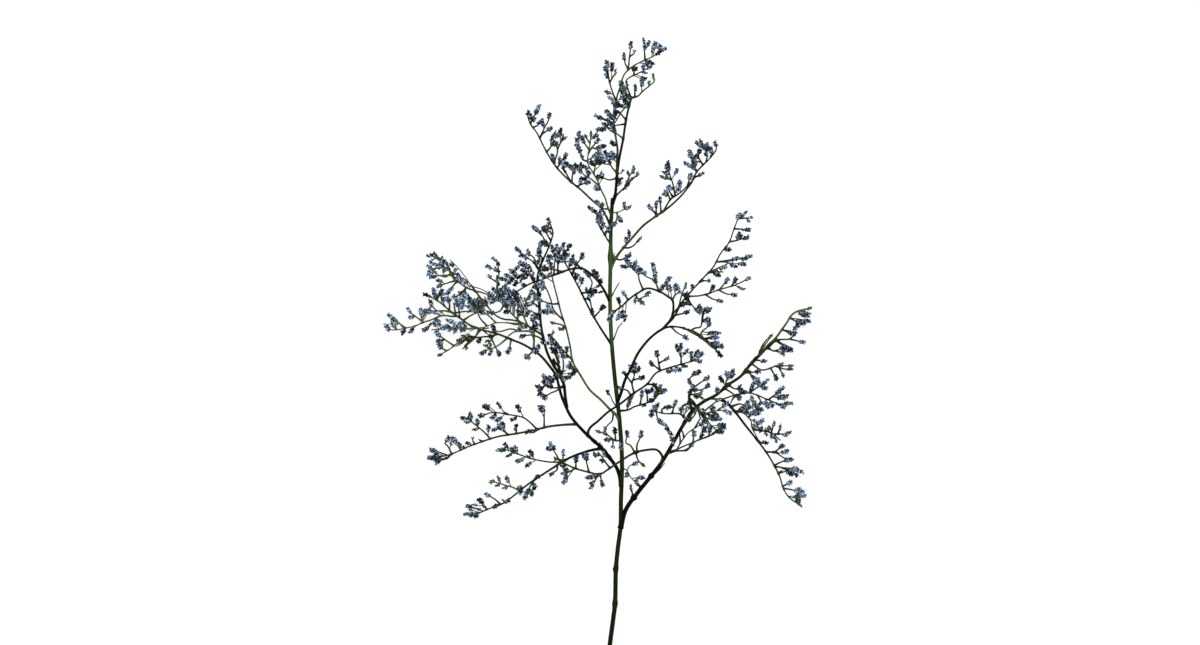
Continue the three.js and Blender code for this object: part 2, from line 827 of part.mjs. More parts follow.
// "x,y x,y,height ..." as a list of sheet points; a missing height stays undefined.
function readRoute(text) {
  return text
    .split(" ")
    .filter((word) => word.length > 0)
    .map((word) => {
      const [x, y, height] = word.split(",").map(Number);
      return { x, y, height };
    });
}

// A point on the sheet, at its height above the table, in the part's frame.
function toPart(point) {
  return new THREE.Vector3(point.x - sheetMiddle.x, sheetMiddle.y - point.y, point.height);
}

// A route without the corners that hardly bend it.
function straighten(points) {
  const kept = [points[0]];
  for (let i = 1; i < points.length - 1; i += 1) {
    const chord = new THREE.Line3(toPart(kept.at(-1)), toPart(points[i + 1]));
    const place = toPart(points[i]);
    const onChord = chord.closestPointToPoint(place, true, new THREE.Vector3());
    if (onChord.distanceTo(place) > straightness) kept.push(points[i]);
  }
  return [...kept, points.at(-1)];
}

// A closed geometry becomes a solid that can be joined and cut.
function toSolid(geometry) {
  geometry.deleteAttribute("normal");
  geometry.deleteAttribute("uv");
  const merged = mergeVertices(geometry);
  return new wasm.Manifold(
    new wasm.Mesh({
      numProp: 3,
      vertProperties: new Float32Array(merged.getAttribute("position").array),
      triVerts: new Uint32Array(merged.index.array),
    }),
  );
}

// A stalk through the given places, with a ring of corners at each as wide as its radius there.
// A radius of 0 ends it in a point.
function stalk(places, radii, sides) {
  const corners = [];
  const faces = [];
  const across = new THREE.Vector3(0, 0, 1);
  const rings = places.map((place, i) => {
    const ring = [];
    const before = places[Math.max(i - 1, 0)];
    const after = places[Math.min(i + 1, places.length - 1)];
    const along = after.clone().sub(before).normalize();
    across.addScaledVector(along, -across.dot(along)).normalize();
    const beside = along.clone().cross(across);
    const count = radii[i] === 0 ? 1 : sides;
    for (let side = 0; side < count; side += 1) {
      const angle = ((side + 0.5) / sides) * 2 * Math.PI;
      const corner = place.clone();
      corner.addScaledVector(across, radii[i] * Math.cos(angle));
      corner.addScaledVector(beside, radii[i] * Math.sin(angle));
      ring.push(corners.length / 3);
      corners.push(corner.x, corner.y, corner.z);
    }
    return ring;
  });
  for (let i = 1; i < rings.length; i += 1) {
    for (let side = 0; side < sides; side += 1) {
      const next = (side + 1) % sides;
      const [low, high] = [rings[i - 1], rings[i]];
      if (low.length > 1) faces.push(low[side], low[next], high[high.length > 1 ? side : 0]);
      if (high.length > 1) faces.push(low[low.length > 1 ? next : 0], high[next], high[side]);
    }
  }
  const [root, tip] = [rings[0], rings.at(-1)];
  for (let side = 1; side < root.length - 1; side += 1) faces.push(root[0], root[side + 1], root[side]);
  for (let side = 1; side < tip.length - 1; side += 1) faces.push(tip[0], tip[side], tip[side + 1]);
  const geometry = new THREE.BufferGeometry();
  geometry.setAttribute("position", new THREE.Float32BufferAttribute(corners, 3));
  geometry.setIndex(faces);
  return toSolid(geometry);
}

// The sheet point this share of the way from one to another.
function between(a, b, share) {
  return {
    x: THREE.MathUtils.lerp(a.x, b.x, share),
    y: THREE.MathUtils.lerp(a.y, b.y, share),
    height: THREE.MathUtils.lerp(a.height, b.height, share),
  };
}

// The nearest place on any of the strands, seen flat on the sheet.
function findHold(strands, point) {
  let best = { distance: Infinity };
  for (const strand of strands) {
    const last = strand.points.length - 2;
    for (let i = 0; i <= last; i += 1) {
      const [a, b] = [strand.points[i], strand.points[i + 1]];
      const along = { x: b.x - a.x, y: b.y - a.y, height: b.height - a.height };
      const across = (point.x - a.x) * along.x + (point.y - a.y) * along.y;
      const share = THREE.MathUtils.clamp(across / (along.x ** 2 + along.y ** 2), 0, 1);
      const foot = between(a, b, share);
      const distance = Math.hypot(point.x - foot.x, point.y - foot.y);
      const isEnd = i === last && share === 1;
      if (distance < best.distance) best = { strand, segment: i, foot, along, distance, isEnd };
    }
  }
  return best;
}

// Heights for a twig's points: it forks off at its parent's height and rises with its reach.
function liftTwig(strands, route, slope) {
  const lifted = [findHold(strands, route[0]).foot];
  for (const point of route.slice(1)) {
    const before = lifted.at(-1);
    const step = Math.hypot(point.x - before.x, point.y - before.y);
    lifted.push({ ...point, height: point.height ?? Math.max(before.height + slope * step, lowestTwig) });
  }
  return lifted;
}

// The place on a strand this far back towards its root, seen flat on the sheet.
function stepBack({ strand, segment, foot }, reach) {
  let place = foot;
  for (let i = segment; i >= 0; i -= 1) {
    const corner = strand.points[i];
    const run = Math.hypot(place.x - corner.x, place.y - corner.y);
    if (run > reach) return between(place, corner, reach / run);
    reach -= run;
    place = corner;
  }
  return place;
}

// A floret on the nearest strand: its root there, its heart where it is drawn, and its tip.
function placeFloret(strands, point, shape, rise, chance) {
  const hold = findHold(strands, point);
  const { strand, foot, along, distance } = hold;
  const slope = chance(rise[0], rise[1]);
  const lean = chance(-1, 1);
  const atEnd = hold.isEnd && distance < endReach && !strand.hasFloret;
  const lift = atEnd || distance > standOff ? 0 : Math.sign(lean) * (standOff - distance) + lean;
  const floor = (lowestFloret * shape.radius) / floret.radius;
  const height = Math.max(foot.height + slope * distance + lift, floor);
  const reach = atEnd ? 0 : leanBack * Math.max(distance, Math.abs(lift));
  const root = toPart(stepBack(hold, reach));
  const heart = toPart({ ...point, height });
  const out = heart.clone().sub(root);
  const onward = new THREE.Vector3(along.x, -along.y, along.height).normalize();
  out.addScaledVector(onward, onwardPull).normalize();
  const tip = heart.clone().addScaledVector(out, shape.past);
  tip.z = Math.max(tip.z, lowestTip);
  if (atEnd) strand.hasFloret = true;
  return { strand, atEnd, shape, root, heart, tip, out };
}

// A spray's strands, boughs first, and its florets.
function growSpray(spray, seed) {
  const chance = makeChance(seed);
  const strands = [];
  for (const bough of spray.boughs) {
    const sides = bough.radius[0] >= stoutBough ? boughSides : twigSides;
    strands.push({ points: straighten(readRoute(bough.route)), radius: bough.radius, sides });
  }
  for (const twig of spray.twigs) {
    const points = liftTwig(strands, readRoute(twig), chance(spray.rise[0], spray.rise[1]));
    strands.push({ points: straighten(points), radius: twigRadius, sides: twigSides });
  }
  const florets = [];
  const kinds = [[spray.tufts, floret], [spray.darkTufts, floret], [spray.buds, bud]];
  for (const [places, shape] of kinds) {
    for (const point of readRoute(places)) {
      florets.push(placeFloret(strands, point, shape, spray.rise, chance));
    }
  }
  return { strands, florets };
}

// A strand as a tapering stalk, which flares at its end where a floret grows from it.
function strandSolid(strand, endFloret) {
  const places = strand.points.map(toPart);
  const [thick, thin] = strand.radius;
  const radii = places.map((_, i) => THREE.MathUtils.lerp(thick, thin, i / (places.length - 1)));
  if (endFloret) {
    const { tip, out, shape } = endFloret;
    places.push(tip.clone().addScaledVector(out, -shape.crown), tip);
    radii.push(shape.radius, 0);
  }
  return stalk(places, radii, strand.sides);
}

// A floret on the side of a strand: a slim funnel from a point in the strand to a low crown.
function floretSolid({ root, tip, out, shape }) {
  const shoulder = tip.clone().addScaledVector(out, -shape.crown);
  if (root.distanceTo(tip) < stalkReach + shape.past) {
    return stalk([root, shoulder, tip], [0, shape.radius, 0], twigSides);
  }
  const neck = tip.clone().addScaledVector(out, -shape.length);
  const [thick, thin] = twigRadius;
  return stalk([root, neck, shoulder, tip], [thick, thin, shape.radius, 0], twigSides);
}

// All of a spray's strands and florets joined, with crowded florets left to their neighbours.
function spraySolid({ strands, florets }) {
  const solids = strands.map((strand) =>
    strandSolid(strand, florets.find((one) => one.atEnd && one.strand === strand)),
  );
  const kept = florets.filter((one) => one.atEnd);
  for (const one of florets) {
    const crowded = kept.some((other) => other.heart.distanceTo(one.heart) < one.shape.apart);
    if (!crowded) {
      kept.push(one);
      solids.push(floretSolid(one));
    }
  }
  return wasm.Manifold.union(solids).subtract(table);
}

// The largest body of a solid, without scraps or sealed hollows.
function largest(solid) {
  return solid.decompose().sort((a, b) => b.volume() - a.volume())[0];
}

const table = toSolid(
  new THREE.BoxGeometry(tableSize, tableSize, tableDepth).translate(0, 0, -tableDepth / 2),
);

// A strand fattened by the seat gap: what grows from it is cut back by this.
function seatOf({ points, radius, sides }) {
  const fat = seatGap / Math.cos(Math.PI / sides);
  return strandSolid({ points, radius: radius.map((value) => value + fat), sides });
}

const stem = { points: straighten(readRoute(stemRoute)), radius: stemRadius, sides: stemSides };

// The stem's leaf joints as low swellings, fattened by the given amount.
function knobSolids(fat) {
  return stemKnobs.map((knob) => {
    const shape = new THREE.IcosahedronGeometry(knob.radius + fat, 0).scale(1, knobStretch, 1);
    const place = toPart(knob);
    return toSolid(shape.translate(place.x, place.y, place.z));
  });
}

function makeStem() {
  const shoots = spraySolid(growSpray(stemShoots, 1));
  return largest(wasm.Manifold.union([strandSolid(stem), shoots, ...knobSolids(0)]).subtract(table));
}

function toMesh(name, solid, colour) {
  const mesh = solid.getMesh();
  const geometry = new THREE.BufferGeometry();
  geometry.setAttribute("position", new THREE.BufferAttribute(new Float32Array(mesh.vertProperties), 3));
  geometry.setIndex(new THREE.BufferAttribute(new Uint32Array(mesh.triVerts), 1));
  geometry.computeVertexNormals();
  const material = new THREE.MeshStandardMaterial({ color: colour, roughness: 0.85, metalness: 0 });
  const node = new THREE.Mesh(geometry, material);
  node.name = name;
  return node;
}

const statice = new THREE.Group();
statice.add(toMesh("main_stem", makeStem(), colours.stem));
const grown = sprays.map((spray, i) => growSpray(spray, i + 2));
const seats = new Map([["main_stem", wasm.Manifold.union([seatOf(stem), ...knobSolids(knobGap)])]]);
sprays.forEach((spray, i) => seats.set(spray.name, seatOf(grown[i].strands[0])));
sprays.forEach((spray, i) => {
  const solid = largest(spraySolid(grown[i]).subtract(seats.get(spray.seat)));
  statice.add(toMesh(spray.name, solid, colours.spray));
});

export default statice;
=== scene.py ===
import math

import bpy
import numpy as np
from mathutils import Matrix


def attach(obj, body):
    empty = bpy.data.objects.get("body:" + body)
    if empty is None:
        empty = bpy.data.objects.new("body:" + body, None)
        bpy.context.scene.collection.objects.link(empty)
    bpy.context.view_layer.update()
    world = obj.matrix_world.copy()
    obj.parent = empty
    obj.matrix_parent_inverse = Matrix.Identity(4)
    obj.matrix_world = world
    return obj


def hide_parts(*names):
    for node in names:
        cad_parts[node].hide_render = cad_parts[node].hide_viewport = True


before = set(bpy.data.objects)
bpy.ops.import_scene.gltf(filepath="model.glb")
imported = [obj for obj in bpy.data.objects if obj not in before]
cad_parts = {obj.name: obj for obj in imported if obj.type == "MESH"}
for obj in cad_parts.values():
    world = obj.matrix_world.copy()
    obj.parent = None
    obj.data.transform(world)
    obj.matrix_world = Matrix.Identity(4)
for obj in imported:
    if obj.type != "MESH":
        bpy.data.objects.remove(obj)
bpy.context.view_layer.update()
print("frame loaded, nodes:", len(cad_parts))

# The plant is drawn flat on a sheet, in mm, with x to the right and y down. The part's origin is
# the sheet's middle, on the table. Everything below is in mm until a mesh is made.
sheet = {"middleX": 598.39, "middleY": 386.9}
metresPerMm = 0.001

tiny = 1e-9  # nothing is divided by a length shorter than this


def makeChance(seed):
    # a repeatable source of chance: each call gives the next number between low and high
    factor, shift, count = 1664525, 1013904223, 2**32
    state = seed

    def chance(low, high):
        nonlocal state
        state = (state * factor + shift) % count
        return low + (high - low) * state / count

    return chance


def unit(vector):
    return vector / max(np.linalg.norm(vector), tiny)


def toPart(x, y, height):
    return np.array([x - sheet["middleX"], sheet["middleY"] - y, height])


def readRoute(text):
    # "x,y x,y,height ..." as lists of x, y and height, which is None where it isn't given
    route = []
    for word in text.split():
        numbers = [float(number) for number in word.split(",")]
        route.append((numbers + [None])[:3])
    return route


def between(a, b, start, end, t):
    return (a * (end - t) + b * (t - start)) / (end - start)


def smoothPath(points, step):
    # a smooth curve through the points, with a place about every step; taking the square roots
    # of the gaps keeps it from looping where points are close together
    ends = [2 * points[0] - points[1], *points, 2 * points[-1] - points[-2]]
    path = []
    for a, b, c, d in zip(ends, ends[1:], ends[2:], ends[3:]):
        gaps = [np.linalg.norm(q - p) ** 0.5 for p, q in ((a, b), (b, c), (c, d))]
        t0, t1, t2, t3 = np.cumsum([0, *gaps])
        count = max(1, math.ceil(np.linalg.norm(c - b) / step))
        for k in range(count):
            t = t1 + (t2 - t1) * k / count
            ab = between(a, b, t0, t1, t)
            bc = between(b, c, t1, t2, t)
            cd = between(c, d, t2, t3, t)
            path.append(between(between(ab, bc, t0, t2, t), between(bc, cd, t1, t3, t), t1, t2, t))
    path.append(points[-1])
    return np.array(path)


def lengths(path):
    # distance from the path's start to each of its places
    return np.concatenate([[0], np.cumsum(np.linalg.norm(np.diff(path, axis=0), axis=1))])


def placeOn(path, distance):
    # the spot this far along a path, and the path's direction there
    run = lengths(path)
    spot = np.array([np.interp(distance, run, path[:, axis]) for axis in range(3)])
    i = min(max(np.searchsorted(run, distance), 1), len(path) - 1)
    return spot, unit(path[i] - path[i - 1])


# Skins are gathered in heaps, and each heap becomes one mesh. "reach" and "tone" are kept for each
# point: how far along its part it is, and how light it is.
def newHeap():
    return {"points": [], "faces": [], "reach": [], "tone": [], "size": 0}


def addSkin(heap, points, faces, reach, tone):
    start = heap["size"]
    heap["points"].append(points)
    heap["faces"].extend(tuple(start + corner for corner in face) for face in faces)
    heap["reach"].append(np.broadcast_to(reach, len(points)))
    heap["tone"].append(np.broadcast_to(tone, len(points)))
    heap["size"] = start + len(points)


def joinRings(rings):
    # faces of a closed skin through rings of corners, root first; a ring of one is a point
    faces = []
    start = 0
    for low, high in zip(rings, rings[1:]):
        after = start + len(low)
        count = max(len(low), len(high))
        for i in range(count):
            j = (i + 1) % count
            if len(low) == 1:
                faces.append((start, after + j, after + i))
            elif len(high) == 1:
                faces.append((start + i, start + j, after))
            else:
                faces.append((start + i, start + j, after + j, after + i))
        start = after
    if len(rings[0]) > 1:
        faces.append(tuple(range(len(rings[0]) - 1, -1, -1)))
    if len(rings[-1]) > 1:
        faces.append(tuple(range(start, start + len(rings[-1]))))
    return faces


def tubeRings(path, radii, sides, ridge=0):
    # rings of corners round a path, without twist; ridge raises every fourth corner
    ahead = np.gradient(path, axis=0)
    across = np.array([0.13, 0.05, 1.0])  # nearly upright, as hardly any strand is
    angles = np.arange(sides) * 2 * math.pi / sides
    swell = 1 + ridge * np.cos(angles * sides / 4)
    rings = []
    for middle, along, radius in zip(path, ahead, radii):
        along = unit(along)
        across = unit(across - along * across.dot(along))
        beside = np.cross(along, across)
        spokes = np.outer(np.cos(angles) * swell, across) + np.outer(np.sin(angles) * swell, beside)
        rings.append(middle + spokes * radius)
    return rings


pressing = {
    "sharpness": 3.0,  # how sharply a surface turns flat at the table
    "highest": 3,  # whatever is higher than this stays as it is
    "deepest": 9,  # whatever is deeper than this is pressed as if it were this deep
}


def press(points):
    # what would sink into the table is pressed flat on it
    sharpness = pressing["sharpness"]
    deepest = pressing["deepest"]
    raised = points.copy()
    raised[:, 2] = np.log1p(np.exp(sharpness * points[:, 2].clip(-deepest, deepest))) / sharpness
    high = points[:, 2] > pressing["highest"]
    raised[high, 2] = points[high, 2]
    return raised


def makePiece(name, heap, finish, node):
    mesh = bpy.data.meshes.new(name)
    points = press(np.vstack(heap["points"])) * metresPerMm
    mesh.from_pydata(points.tolist(), [], heap["faces"])
    for layer in ("reach", "tone"):
        values = np.concatenate(heap[layer]).astype(np.float32)
        mesh.attributes.new(layer, "FLOAT", "POINT").data.foreach_set("value", values)
    mesh.polygons.foreach_set("use_smooth", np.ones(len(mesh.polygons), dtype=bool))
    mesh.materials.append(finish)
    mesh.update()
    piece = bpy.data.objects.new(name, mesh)
    bpy.context.scene.collection.objects.link(piece)
    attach(piece, "root")
    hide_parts(node)


# Materials
def addNode(tree, kind, **settings):
    node = tree.nodes.new(kind)
    for key, value in settings.items():
        setattr(node, key, value)
    return node


def readLayer(tree, name):
    return addNode(tree, "ShaderNodeAttribute", attribute_name=name).outputs["Fac"]


def colour(code):
    # "#rrggbb" as a linear colour, by the usual formula for a screen
    parts = [int(code[i : i + 2], 16) / 255 for i in (1, 3, 5)]
    linear = [part / 12.92 if part <= 0.04045 else ((part + 0.055) / 1.055) ** 2.4 for part in parts]
    return (*linear, 1)


def addRamp(tree, value, stops):
    ramp = addNode(tree, "ShaderNodeValToRGB")
    tree.links.new(value, ramp.inputs["Fac"])
    marks = ramp.color_ramp.elements
    while len(marks) < len(stops):
        marks.new(0.5)  # it is moved to its own position below
    for mark, (position, code) in zip(marks, stops):
        mark.position = position
        mark.color = colour(code)
    return ramp.outputs["Color"]


noiseSpan = (0.3, 0.7)  # noise hardly ever leaves these bounds


def addNoise(tree, scale, detail=2, stretch=(1, 1, 1)):
    # noise fixed to the part; scale is in waves per metre
    where = addNode(tree, "ShaderNodeTexCoord").outputs["Object"]
    mapping = addNode(tree, "ShaderNodeMapping")
    mapping.inputs["Scale"].default_value = stretch
    noise = addNode(tree, "ShaderNodeTexNoise")
    noise.inputs["Scale"].default_value = scale
    noise.inputs["Detail"].default_value = detail
    tree.links.new(where, mapping.inputs["Vector"])
    tree.links.new(mapping.outputs["Vector"], noise.inputs["Vector"])
    return noise.outputs["Fac"]


def addRange(tree, value, low, high, fromLow=0.0, fromHigh=1.0):
    node = addNode(tree, "ShaderNodeMapRange")
    tree.links.new(value, node.inputs["Value"])
    node.inputs["From Min"].default_value = fromLow
    node.inputs["From Max"].default_value = fromHigh
    node.inputs["To Min"].default_value = low
    node.inputs["To Max"].default_value = high
    return node.outputs["Result"]


def addMath(tree, kind, a, b):
    node = addNode(tree, "ShaderNodeMath", operation=kind)
    for socket, value in zip(node.inputs, (a, b)):
        if isinstance(value, (int, float)):
            socket.default_value = value
        else:
            tree.links.new(value, socket)
    return node.outputs["Value"]


def addScaled(tree, tint, factor):
    node = addNode(tree, "ShaderNodeVectorMath", operation="SCALE")
    tree.links.new(tint, node.inputs[0])
    tree.links.new(factor, node.inputs["Scale"])
    return node.outputs["Vector"]


def addMix(tree, factor, tint, other):
    # from a tint to one other colour
    node = addNode(tree, "ShaderNodeMix", data_type="RGBA")
    tree.links.new(factor, node.inputs["Factor"])
    tree.links.new(tint, node.inputs["A"])
    node.inputs["B"].default_value = other
    return node.outputs["Result"]


def newFinish(name, look):
    finish = bpy.data.materials.new(name)
    finish.use_nodes = True
    shader = finish.node_tree.nodes["Principled BSDF"]
    shader.inputs["Roughness"].default_value = look["roughness"]
    shader.inputs["Specular IOR Level"].default_value = look["gloss"]
    return finish, shader


def addBump(tree, shader, height, look):
    bump = addNode(tree, "ShaderNodeBump")
    bump.inputs["Distance"].default_value = look["grainDepth"]
    bump.inputs["Strength"].default_value = look["grainStrength"]
    tree.links.new(height, bump.inputs["Height"])
    tree.links.new(bump.outputs["Normal"], shader.inputs["Normal"])


# In the looks below, scales are in waves per metre and grain depths in metres.
floretLook = {
    "roughness": 0.8,
    "gloss": 0.03,
    # along a floret, from its green foot to its rim at 0.5, and on down its throat. The pale rim is the
    # paper's blue with a painted highlight, and the near-black down the throat is painted shade
    "stops": [
        (0.0, "#20270f"), (0.17, "#48532c"), (0.28, "#525d47"), (0.35, "#416089"),
        (0.42, "#7397c8"), (0.5, "#d9e2ee"), (0.57, "#112033"), (1.0, "#030911"),
    ],
    "stopsPerReach": 0.5,  # a floret's reach is 1 at its rim
    "darkest": 0.1,  # how bright the darkest and the lightest florets are
    "lightest": 1.5,
    "mottle": (0.45, 1.5),  # how bright its darker and lighter specks are
    "mottleScale": 1100,
    "grainScale": 2600,
    "grainDepth": 0.0002,
    "grainStrength": 0.6,
}


def floretFinish(look):
    finish, shader = newFinish("papery floret", look)
    tree = finish.node_tree
    reach = addMath(tree, "MULTIPLY", readLayer(tree, "reach"), look["stopsPerReach"])
    tint = addRamp(tree, reach, look["stops"])
    tone = addRange(tree, readLayer(tree, "tone"), look["darkest"], look["lightest"])
    mottle = addRange(tree, addNoise(tree, look["mottleScale"]), *look["mottle"], *noiseSpan)
    tint = addScaled(tree, tint, addMath(tree, "MULTIPLY", tone, mottle))
    tree.links.new(tint, shader.inputs["Base Color"])
    addBump(tree, shader, addNoise(tree, look["grainScale"]), look)
    return finish


twigLook = {
    "roughness": 0.65,
    "gloss": 0.04,
    # from dark to light bark
    "stops": [(0.0, "#030501"), (0.3, "#0d1507"), (0.6, "#222d13"), (1.0, "#566138")],
    "patches": (-0.14, 0.14),  # lighter and darker places on the bark
    "patchScale": 190,
    "patchDetail": 4,
    "grainScale": 1500,
    "grainDetail": 3,
    "grainDepth": 0.0002,
    "grainStrength": 0.5,
}


def twigFinish(look):
    finish, shader = newFinish("wiry twig", look)
    tree = finish.node_tree
    patches = addNoise(tree, look["patchScale"], look["patchDetail"])
    patches = addRange(tree, patches, *look["patches"], *noiseSpan)
    shade = addMath(tree, "ADD", readLayer(tree, "tone"), patches)
    tree.links.new(addRamp(tree, shade, look["stops"]), shader.inputs["Base Color"])
    addBump(tree, shader, addNoise(tree, look["grainScale"], look["grainDetail"]), look)
    return finish


stemLook = {
    "roughness": 0.6,
    "gloss": 0.04,
    "stops": [
        (0.0, "#010700"), (0.25, "#061102"), (0.5, "#102004"), (0.75, "#253812"), (1.0, "#43572f"),
    ],
    "pith": "#8d9468",  # the cut faces at both ends
    "streaks": (-0.1, 0.1),
    "streakScale": 40,
    "streakDetail": 3,
    "streakStretch": (30, 1, 30),  # they run along the stem
    "grainDepth": 0.0004,
    "grainStrength": 0.5,
}


def stemFinish(look):
    finish, shader = newFinish("green stem", look)
    tree = finish.node_tree
    streaks = addNoise(tree, look["streakScale"], look["streakDetail"], look["streakStretch"])
    streaks = addRange(tree, streaks, *look["streaks"], *noiseSpan)
    shade = addMath(tree, "ADD", readLayer(tree, "tone"), streaks)
    bark = addRamp(tree, shade, look["stops"])
    tint = addMix(tree, readLayer(tree, "reach"), bark, colour(look["pith"]))
    tree.links.new(tint, shader.inputs["Base Color"])
    addBump(tree, shader, streaks, look)
    return finish


floretPaper = floretFinish(floretLook)
twigBark = twigFinish(twigLook)
stemBark = stemFinish(stemLook)
print("finishes made")

# One floret stands at the origin with its length of 1 along Z. Each ring of it is height, radius,
# depth of the pleats, rise of the lobes, and reach.
calyxLook = {
    "sides": 10,
    "open": [(0.45, 0.26, 0.06, 0, 0.55), (0.97, 0.52, 0.17, 0.05, 1.0)],
    "half": [(0.5, 0.31, 0.06, 0, 0.55), (0.98, 0.4, 0.2, 0.06, 1.0)],
    "shut": [(0.38, 0.31, 0.06, 0, 0.45), (0.78, 0.25, 0.16, 0, 0.85)],
    "green": [(0.38, 0.3, 0.06, 0, 0.3), (0.75, 0.24, 0.16, 0, 0.45)],
    # height and reach of the point in the middle: the end of the throat, or the tip of a shut one. A reach
    # past 1 takes the painted shade down the throat
    "middles": {"open": (0.5, 1.7), "half": (0.55, 1.7), "shut": (1.0, 1.0), "green": (1.0, 0.55)},
}


def calyxShape(name):
    sides = calyxLook["sides"]
    angles = np.arange(sides) * 2 * math.pi / sides
    lobes = np.cos(angles * sides / 2)
    rings = [np.zeros((1, 3))]
    reach = [0]
    for height, radius, pleat, rise, along in calyxLook[name]:
        spread = radius * (1 + pleat * lobes)
        ring = [np.cos(angles) * spread, np.sin(angles) * spread, height + rise * lobes]
        rings.append(np.column_stack(ring))
        reach += [along] * sides
    height, along = calyxLook["middles"][name]
    rings.append(np.array([[0, 0, height]]))
    reach.append(along)
    return {"points": np.vstack(rings), "faces": joinRings(rings), "reach": np.array(reach)}


# The green scale under a floret: at each height, its distance out, its bulge and its half width.
scaleLook = {
    "stations": [(0.0, 0.03, 0.05, 0.09), (0.35, 0.07, 0.12, 0.2), (0.72, 0.12, 0.1, 0.15)],
    "thickness": 0.035,
    "tip": (0.24, 0.0, 1.0),
    "tipReach": 0.35,  # its green turns bluish to here
}


def scaleShape():
    rings = []
    for height, out, bulge, width in scaleLook["stations"]:
        back = out + bulge
        inner = back - scaleLook["thickness"]
        ring = [(back, 0, height), (out, width, height), (inner, 0, height), (out, -width, height)]
        rings.append(np.array(ring))
    rings.append(np.array([scaleLook["tip"]]))
    points = np.vstack(rings)
    return {"points": points, "faces": joinRings(rings), "reach": scaleLook["tipReach"] * points[:, 2]}


calyxes = {name: calyxShape(name) for name in calyxLook["middles"]}
scale = scaleShape()


def addCopy(heap, shape, spot, ahead, outward, length, width, tone):
    # a copy of a shape at a spot, its length ahead and its front outward
    across = unit(outward - ahead * outward.dot(ahead))
    beside = np.cross(ahead, across)
    turned = shape["points"] @ np.array([across * width, beside * width, ahead * length])
    addSkin(heap, turned + spot, shape["faces"], shape["reach"], tone)


# What all tufts have in common. After it comes what sets tufts, small tufts and green buds apart.
earLook = {
    "step": 1.2,  # from one ring of the stalk to the next
    "sides": 6,
    "longTwig": 6,  # a tuft at the end of a twig longer than this follows the twig's last bend
    "lastBend": 4.5,
    "bentFrom": 1,  # a tuft whose heart is further than this from its root bends through its heart
    "leastStalk": 0.12,  # share of the tuft that is bare stalk at least
    "stalkPast": 1.5,  # the stalk runs on this far inside the ear
    "coreRings": 6,
    "coreEnd": 0.92,  # share of the ear
    "coreReach": [(0, 0.1), (0.3, 0.3), (0.6, 1.4), (1, 1.3)],  # share of the core, reach there; past 1 it takes the painted shade of a floret's throat
    "paintedCoreShade": 0.1,  # the core is painted this much darker than its florets, as the shade between them
    "fewest": 4,  # florets on an ear at least
    "lastStands": 0.8,  # the last floret stands this share of its length short of the tip
    "leastRun": 0.3,  # but at least this far beyond the first one
    "scaleRun": 0.45,  # green scales stand on this share of the way to the last floret
    "turn": math.radians(137.5),  # from one floret round the ear to the next
    "swing": 0.4,  # a floret may be this many radians off that turn
    "tiltSpread": (0.7, 1.3),  # and lean out this much less or more than its look says
    "toneSpread": 0.5,  # it may be this much lighter or darker than its tuft
    "standsOut": 0.55,  # its foot is this share of the core's radius off the core's middle
}

tuftLook = {
    "radius": 2.9,  # a tuft with a smaller radius may lie lower
    "past": 4.2,  # how far a tuft reaches past its heart
    "ear": 8.6,  # length of the ear that its florets stand on
    "stalk": (0.62, 0.5),  # radius at its root and at its end
    "core": [(0, 0.6), (0.3, 1.4), (0.6, 1.9), (0.85, 1.5), (1, 0.3)],  # share of the ear, radius
    "apart": 0.85,  # along the ear, from one floret to the next
    "length": (2.3, 3.3),  # of a floret
    "width": (2.5, 3.5),
    "fullness": (0.8, 1.3),  # how much wider than its core's own radius, and longer, a tuft may be
    "spread": (32, 6),  # degrees off the ear, first and last floret
    "kinds": ("open", "half", "open", "half", "shut", "green"),  # each floret is one of these
    "scales": 5,  # green scales below the florets
}

smallTuftLook = {
    "radius": 2.9,
    "past": 2.8,
    "ear": 5.5,
    "stalk": (0.55, 0.45),
    "core": [(0, 0.4), (0.4, 0.8), (0.8, 0.8), (1, 0.15)],
    "apart": 1.0,
    "length": (1.8, 2.7),
    "width": (1.6, 2.4),
    "fullness": (0.8, 1.2),
    "spread": (38, 8),
    "kinds": ("open", "half", "open", "half", "shut", "green"),
    "scales": 2,
}

budLook = {
    "radius": 1.7,
    "past": 3.4,
    "ear": 9.5,
    "stalk": (0.55, 0.45),
    "core": [(0, 0.6), (0.4, 1.2), (0.7, 1.1), (1, 0.2)],
    "apart": 1.2,
    "length": (3.0, 4.0),
    "width": (2.0, 2.7),
    "fullness": (0.9, 1.1),
    "spread": (24, 6),
    "kinds": ("green", "green", "green", "shut"),
    "scales": 6,
}


def findSpine(tuft):
    # the line that a tuft follows, from its twig to its tip
    spots = [tuft["root"]]
    if tuft["atEnd"]:
        path = tuft["strand"]["path"]
        run = lengths(path)[-1]
        if run > earLook["longTwig"]:
            spots.insert(0, placeOn(path, run - earLook["lastBend"])[0])
    if np.linalg.norm(tuft["heart"] - tuft["root"]) > earLook["bentFrom"]:
        spots.append(tuft["heart"])
    spots.append(tuft["tip"])
    return smoothPath(spots, earLook["step"])


def addStalk(heap, tuft, spine, start):
    # the bare stalk up to the ear, which runs on a little way inside it
    run = np.arange(0, start + earLook["stalkPast"], earLook["step"])
    stalk = np.array([placeOn(spine, along)[0] for along in run])
    if len(stalk) > 1:
        radii = np.linspace(*tuft["look"]["stalk"], len(stalk))
        rings = tubeRings(stalk, radii, earLook["sides"])
        addSkin(heap, np.vstack(rings), joinRings(rings), 0, tuft["shade"])


